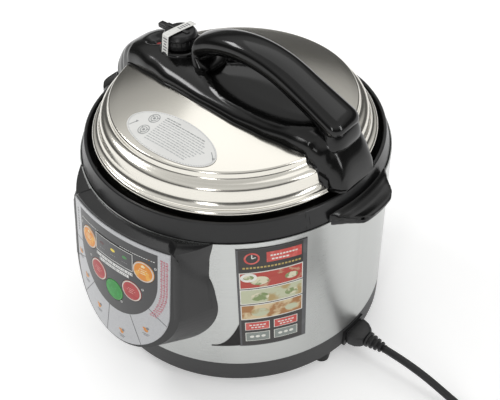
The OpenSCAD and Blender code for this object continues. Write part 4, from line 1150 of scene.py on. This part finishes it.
            bmesh.ops.holes_fill(bm, edges=bottom, sides=0)
            for vert in bm.verts:
                vert.co = on_face(u + vert.co.x, v + vert.co.y, vert.co.z)
            lines = ((1.2, 9), (-1.2, 7)) if shade == "green" else ((2.4, 6.5), (0.4, 8.5), (-1.6, 5.5))
            for dv, length in lines:
                lay_block(bm, length, 0.8, 0.06,
                          lambda a, b, w, dv=dv: on_face(u + a, v + dv + b, w + 0.36), 2, cuts=3)
            if shade == "orange":
                lay_disc(bm, 2.0, 0.06, lambda a, b, w: on_face(u + a, v + 5.4 + b, w + 0.33), 2, 5)
            finish_piece(f"key_{name}_cap", bm, f"button_{name}", [face, ring, mark], 50,
                         (f"key_{name}",), merge=1e-7)
        return {"FINISHED"}


def housing_finish():
    """Satin sides and a glossy upper face for the panel's housing."""
    parts = blank_material("housing_satin_and_gloss")
    mat, nodes, links, shader = parts
    wire(parts, "moulded", {"Colour": (0.011, 0.011, 0.0115, 1), "Roughness": 0.36, "Grain depth": 0.05,
                            "Dust": 0.03}, ("Colour", "Normal"))
    shape = nodes.new("ShaderNodeNewGeometry")
    split = nodes.new("ShaderNodeSeparateXYZ")
    links.new(shape.outputs["Normal"], split.inputs[0])
    span = nodes.new("ShaderNodeMapRange")
    span.inputs["From Min"].default_value = 0.45
    span.inputs["From Max"].default_value = 0.75
    span.inputs["To Min"].default_value = 0.36
    span.inputs["To Max"].default_value = 0.09
    links.new(split.outputs["Z"], span.inputs["Value"])
    links.new(span.outputs["Result"], shader.inputs["Roughness"])
    return mat


class COOKER_OT_housing_wings(bpy.types.Operator):
    """Flares the panel housing's upper sides out to the sleeve."""

    bl_idname = "cooker.housing_wings"
    bl_label = "Housing wings"

    def execute(self, context):
        solid = frame["nodes"]["panel_housing"]
        outward = Vector((0.86, -0.51, 0))
        finish = solid.data.materials[0]
        meet = [(100.0, -57.5), (112.0, -57.2), (125.0, -57.4), (147.0, -58.2),
                (165.0, -57.6), (183.0, -56.0)]
        for name, sign in (("right", 1), ("left", -1)):
            bm = bmesh.new()
            made = bmesh.ops.create_grid(bm, x_segments=14, y_segments=20, size=0.5)
            for vert in made["verts"]:
                t, s = vert.co.x + 0.5, vert.co.y + 0.5
                low = 112.0
                near = on_face(55.4, (low - FACE_Z + (177.6 - low) * s) / math.cos(TILT), -1.3) / MM
                z = low + (182.4 - low) * s
                a = math.radians(between(meet, z))
                far = Vector((135.2 * math.cos(a), 135.2 * math.sin(a), z))
                spot = near.lerp(far, t)
                bulge = (1.8 * math.sin(math.pi * t) * soft_step(s, 0.0, 0.35)
                         - 1.2 * (1 - soft_step(s, 0.0, 0.3)))
                spot += Vector((0.8, -0.3, 0)) * bulge
                met, place = solid.ray_cast((spot + outward * 40) * MM, -outward, distance=0.04)[:2]
                if met and 0.02 < t < 0.98:
                    spot = place / MM + outward * 0.5
                vert.co = Vector((sign * spot.x, spot.y, spot.z)) * MM
            grown = bmesh.ops.extrude_face_region(bm, geom=bm.faces[:])
            moved = [v for v in grown["geom"] if isinstance(v, bmesh.types.BMVert)]
            bmesh.ops.translate(bm, verts=moved, vec=Vector((-sign * 14, 6, 0)) * MM)
            finish_piece(f"housing_wing_{name}", bm, "cooker", [finish], 40)
        return {"FINISHED"}


# ---------------------------------------------------------------- sleeve label
class COOKER_OT_sleeve_label(bpy.types.Operator):
    """Prints the sleeve's label: a dark frame, three food strips and four badges."""

    bl_idname = "cooker.sleeve_label"
    bl_label = "Sleeve label"

    def execute(self, context):
        left, right, low, high = 98.5, 152.0, 62.0, 176.0
        mats = [ink("label_dark", (0.024, 0.021, 0.020), (0.03, 0.027, 0.026), 60),
                ink("label_white_edge", (0.74, 0.73, 0.68)),
                ink("label_red", (0.55, 0.06, 0.05), (0.62, 0.12, 0.10), 200, 0.55),
                ink("label_tomato", (0.42, 0.045, 0.03), (0.50, 0.33, 0.20), 90, 0.60),
                ink("label_leaf", (0.20, 0.27, 0.10), (0.66, 0.62, 0.46), 130, 0.50),
                ink("label_egg", (0.50, 0.52, 0.36), (0.42, 0.30, 0.12), 60, 0.54),
                ink("label_roast", (0.36, 0.16, 0.045), (0.62, 0.50, 0.30), 70, 0.52),
                ink("label_grey_green", (0.22, 0.25, 0.23), (0.26, 0.29, 0.27), 80),
                ink("label_gold", (0.46, 0.34, 0.10)),
                ink("label_side_grey", (0.08, 0.08, 0.085), (0.10, 0.10, 0.105), 60)]
        bm = bmesh.new()

        def bar(u0, u1, z0, z1, mat, lift=0.05, slant=0.0):
            length, width = u1 - u0, z1 - z0
            lay_block(bm, length, width, 0.06, lambda a, b, w: on_sleeve(
                (u0 + u1) / 2 + a, (z0 + z1) / 2 + b + slant * a, w + lift), mat,
                      cuts=max(2, int(length / 3)))

        bar(left - 1.6, right + 1.6, low - 0.6, high + 0.6, 9, 0.02)
        bar(left, right - 1.8, low, high, 0, 0.10)
        bar(left + 22, right - 3.2, 161, 172, 2, 0.18)
        for k in range(9):
            bar(left + 25 + k * 2.5, left + 26.8 + k * 2.5, 167, 168.6, 1, 0.25)
        for k in range(5):
            bar(left + 26 + k * 2.9, left + 28.2 + k * 2.9, 163, 164.6, 1, 0.25)
        # a plain clock mark on the header
        centre = (left + 10.5, 166.5)
        spot = lambda a, b, w: on_sleeve(centre[0] + a, centre[1] + b, w + 0.18)
        lay_disc(bm, 6.2, 0.06, spot, 2, 36, 4.7)
        for angle, length in ((90, 4.2), (20, 3.2)):
            hand = turned(spot, angle)
            lay_block(bm, length, 0.9, 0.08,
                      lambda a, b, w, hand=hand, length=length: hand(a + length / 2, b, w), 1)
        for k in range(17):
            bar(left + 3 + k * 2.8, left + 4.9 + k * 2.8, 155.4, 157.2, 8, 0.18)
        # three strips of food in white frames
        for top, bottom, mat, extra in ((151.5, 133.0, 3, 4), (132.0, 114.5, 5, 4), (113.5, 95.5, 6, 5)):
            bar(left, right - 1.8, bottom, top, 1, 0.16, 0.02)
            bar(left + 0.8, right - 2.6, bottom + 1.0, top - 1.0, mat, 0.24, 0.02)
            for u, size in ((16, 7.5), (30, 6.5), (42, 5.5)):
                spot = lambda a, b, w, u=u, top=top, bottom=bottom: on_sleeve(
                    left + u + a, (top + bottom) / 2 - 1 + b * 0.8, w + 0.32)
                lay_disc(bm, size, 0.05, spot, extra if u != 30 else mat, 24, shape=(1.0, 0.8))
        spot = lambda a, b, w: on_sleeve(left + 7.4 + a, 145.5 + b, w + 0.40)
        lay_disc(bm, 6.6, 0.06, spot, 1, 32, shape=(1.0, 0.75))
        lay_disc(bm, 4.2, 0.08, spot, 4, 20, shape=(1.0, 0.6))
        # four badges
        for u0, u1 in ((3.0, 23.5), (27.0, 47.5)):
            for z0, z1, mat in ((81.5, 91.5, 2), (67.5, 78.5, 7)):
                bar(left + u0, left + u1, z0, z1, 1, 0.18)
                bar(left + u0 + 0.6, left + u1 - 0.6, z0 + 0.6, z1 - 0.6, mat, 0.26)
                if mat == 2:
                    for k in range(5):
                        bar(left + u0 + 3.5 + k * 2.9, left + u0 + 5.6 + k * 2.9, z0 + 5.6, z0 + 7, 1, 0.34)
                    for k in range(4):
                        bar(left + u0 + 5.0 + k * 2.9, left + u0 + 7.0 + k * 2.9, z0 + 2.6, z0 + 4, 1, 0.34)
                else:
                    for k in range(3):
                        spot = lambda a, b, w, k=k, u0=u0, z0=z0: on_sleeve(
                            left + u0 + 5.4 + k * 4.8 + a, z0 + 5.6 + b, w + 0.34)
                        lay_disc(bm, 1.9, 0.05, spot, 1, 12, shape=(1.0, 0.8))
        finish_piece("sleeve_label_print", bm, "cooker", mats, 30)

        # curved tail that runs from the label's foot towards the panel
        bm = bmesh.new()
        made = bmesh.ops.create_grid(bm, x_segments=16, y_segments=8, size=0.5)
        for vert in made["verts"]:
            s, t = vert.co.x + 0.5, vert.co.y + 0.5
            u = 72.0 + (left - 71.0) * s
            top = 60.5 + 37.0 * s ** 2.3
            bottom = 59.5 + 2.5 * s
            vert.co = on_sleeve(u, bottom + (top - bottom) * t, 0.1, 135.15)
        bmesh.ops.solidify(bm, geom=bm.faces[:], thickness=0.0002)
        finish_piece("sleeve_label_tail", bm, "cooker", [mats[0]], 30)
        return {"FINISHED"}


# ---------------------------------------------------------------- finishes of the carried-over parts
class COOKER_OT_finishes(bpy.types.Operator):
    """Gives every carried-over CAD part its finish."""

    bl_idname = "cooker.finishes"
    bl_label = "Finishes"

    def execute(self, context):
        colours = context.scene.cooker_colours
        finishes = {
            "charcoal_plastic": plastic("base_charcoal", colours.charcoal, 0.5, grain=3200, depth=0.12,
                                        dust=0.06),
            "black_gloss": plastic("housing_gloss_black", colours.gloss_black, 0.14, depth=0.015, shine=0.5),
            "black_satin": plastic("collar_satin_black", colours.satin_black, 0.3, grain=3000, depth=0.05),
            # the sleeve's tall, strong vertical streaks paint dark and light reflection bands into its colour
            "sleeve_steel": metal("sleeve_steel_painted_reflection_bands", colours.sleeve_steel, 0.30, (40, 40, 2400), 0.03,
                                  0.85, (13, 13, 0.7)),
            "lid_steel": metal("lid_polished_steel", colours.lid_steel, 0.17, (220, 220, 220), 0.01, 0.08),
            "inner_steel": metal("inner_brushed_steel", (0.56, 0.56, 0.55, 1), 0.32, (900, 900, 60), 0.05),
            "cast_aluminium": metal("cast_aluminium", (0.50, 0.50, 0.51, 1), 0.42, (300, 300, 300), 0.15,
                                    0.2),
            "zinc_screw": metal("zinc_plating", (0.55, 0.55, 0.56, 1), 0.28, (500, 500, 500), 0.05),
            "rubber_black": plastic("foot_rubber", (0.014, 0.014, 0.014, 1), 0.72, grain=4000, depth=0.2,
                                    dust=0.15),
            "silicone": plastic("gasket_silicone", (0.66, 0.64, 0.60, 1), 0.5, depth=0.05),
            "red_silicone": plastic("float_red_silicone", (0.32, 0.02, 0.02, 1), 0.45),
            "board_green": plastic("board_solder_mask", (0.02, 0.12, 0.04, 1), 0.35, grain=700, depth=0.1),
            "dark_parts": plastic("moulded_dark", (0.02, 0.02, 0.023, 1), 0.45),
            "ceramic_white": plastic("ceramic_body", (0.66, 0.62, 0.54, 1), 0.55, depth=0.1),
            "overlay_print": face_film(),
            "label_print": ink("label_dark", (0.024, 0.021, 0.020), (0.03, 0.027, 0.026), 60),
            "label_white": ink("label_white_film", (0.80, 0.80, 0.78), (0.76, 0.76, 0.74), 30, 0.55, 0.4),
            "paper_white": ink("strip_paper", (0.80, 0.80, 0.77), rough=0.7, size=400),
            "smoked_window": plastic("window_dark", (0.012, 0.012, 0.014, 1), 0.1, depth=0.0),
            "lamp_lens": plastic("lamp_lens", (0.55, 0.42, 0.08, 1), 0.2, depth=0.0),
            "key_orange": ink("key_film_orange", colours.key_orange[:3], (0.80, 0.40, 0.06), 160, 0.52, 0.28),
            "key_red": ink("key_film_red", colours.key_red[:3], (0.46, 0.05, 0.05), 160, 0.52, 0.28),
            "key_green": ink("key_film_green", colours.key_green[:3], (0.02, 0.33, 0.05), 160, 0.52, 0.28),
            "cord_pvc": plastic("cord_pvc", (0.016, 0.016, 0.017, 1), 0.42, grain=1800, depth=0.08,
                                dust=0.08),
        }
        slots = {row["node"]: row["material_slot"] for row in frame["record"]["subparts"]}
        for name, node in frame["nodes"].items():
            node.data.materials.clear()
            node.data.materials.append(finishes[slots[name]])
        housing = frame["nodes"]["panel_housing"].data.materials
        housing.clear()
        housing.append(housing_finish())
        return {"FINISHED"}


# ---------------------------------------------------------------- stage
class COOKER_OT_stage(bpy.types.Operator):
    """Lays the pale floor and sets the soft lights."""

    bl_idname = "cooker.stage"
    bl_label = "Stage"

    def execute(self, context):
        bm = bmesh.new()
        bmesh.ops.create_grid(bm, x_segments=1, y_segments=1, size=40)
        mesh = bpy.data.meshes.new("floor")
        bm.to_mesh(mesh)
        bm.free()
        floor = bpy.data.objects.new("floor", mesh)
        mat, nodes, links, shader = blank_material("floor_pale")
        shader.inputs["Base Color"].default_value = (0.93, 0.93, 0.93, 1)
        shader.inputs["Roughness"].default_value = 0.9
        shader.inputs["Specular IOR Level"].default_value = 0.0
        shader.inputs["Emission Color"].default_value = (1, 1, 1, 1)
        shader.inputs["Emission Strength"].default_value = 0.3
        mesh.materials.append(mat)
        context.scene.collection.objects.link(floor)
        lamps = [("key_softbox", (-1.5, -0.5, 1.7), (0, 0, 0.15), (0.9, 0.35), 11.0),
                 ("top_softbox", (-0.3, 0.9, 2.3), (0, 0, 0.2), (2.4, 1.9), 9.0),
                 ("side_softbox", (2.0, 0.2, 1.1), (0, 0, 0.15), (0.3, 1.2), 7.0),
                 ("front_softbox", (0.7, -2.0, 1.1), (0, 0, 0.12), (0.35, 0.9), 6.0)]
        for name, spot, aim, size, power in lamps:
            data = bpy.data.lights.new(name, "AREA")
            data.shape = "RECTANGLE"
            data.size, data.size_y = size
            data.energy = power
            lamp = bpy.data.objects.new(name, data)
            lamp.location = spot
            lamp.rotation_mode = "QUATERNION"
            lamp.rotation_quaternion = (Vector(spot) - Vector(aim)).to_track_quat("Z", "Y")
            context.scene.collection.objects.link(lamp)
        world = bpy.data.worlds.new("studio")
        world.use_nodes = True
        nodes, links = world.node_tree.nodes, world.node_tree.links
        nodes.clear()
        out = nodes.new("ShaderNodeOutputWorld")
        sky = nodes.new("ShaderNodeBackground")
        sky.inputs["Strength"].default_value = 0.9
        place = nodes.new("ShaderNodeTexCoord")
        split = nodes.new("ShaderNodeSeparateXYZ")
        links.new(place.outputs["Generated"], split.inputs[0])
        bands = nodes.new("ShaderNodeValToRGB")
        bands.color_ramp.interpolation = "EASE"
        stops = [(0.0, 0.8), (0.49, 0.8), (0.53, 0.14), (0.66, 0.10), (0.76, 0.50), (0.86, 0.86), (1.0, 0.72)]
        ramp = bands.color_ramp
        for spot, level in stops[1:-1]:
            ramp.elements.new(spot)
        for element, (spot, level) in zip(ramp.elements, stops):
            element.position = spot
            element.color = (level, level, level * 0.99, 1)
        height = math_node(nodes, links, "MULTIPLY_ADD", split.outputs["Z"], 0.5, 0.5)
        links.new(height, bands.inputs["Fac"])
        links.new(bands.outputs["Color"], sky.inputs["Color"])
        links.new(sky.outputs[0], out.inputs[0])
        context.scene.world = world
        context.scene.view_settings.view_transform = "Standard"
        return {"FINISHED"}


class COOKER_PT_panel(bpy.types.Panel):
    """Lists the cooker's pieces."""

    bl_label = "Pressure cooker"
    bl_idname = "COOKER_PT_panel"
    bl_space_type = "VIEW_3D"
    bl_region_type = "UI"
    bl_category = "Cooker"

    def draw(self, context):
        layout = self.layout
        for group in (context.scene.cooker_sizes, context.scene.cooker_colours):
            column = layout.column(align=True)
            for key in group.__annotations__:
                column.prop(group, key)
        for operator in STEPS:
            layout.operator(operator.bl_idname)


STEPS = (COOKER_OT_camera, COOKER_OT_mains_lead, COOKER_OT_finishes, COOKER_OT_lid, COOKER_OT_bridge,
         COOKER_OT_grip, COOKER_OT_housing_wings, COOKER_OT_valves, COOKER_OT_lid_label,
         COOKER_OT_side_handles, COOKER_OT_panel, COOKER_OT_sleeve_label, COOKER_OT_stage)
CLASSES = (CookerSizes, CookerColours) + STEPS + (COOKER_PT_panel,)


def register():
    for cls in CLASSES:
        bpy.utils.register_class(cls)
    bpy.types.Scene.cooker_sizes = bpy.props.PointerProperty(type=CookerSizes)
    bpy.types.Scene.cooker_colours = bpy.props.PointerProperty(type=CookerColours)


def unregister():
    del bpy.types.Scene.cooker_colours
    del bpy.types.Scene.cooker_sizes
    for cls in reversed(CLASSES):
        bpy.utils.unregister_class(cls)


def main():
    """Builds everything in order."""
    register()
    for step in STEPS:
        group, name = step.bl_idname.split(".")
        getattr(getattr(bpy.ops, group), name)()


if __name__ == "__main__":
    main()
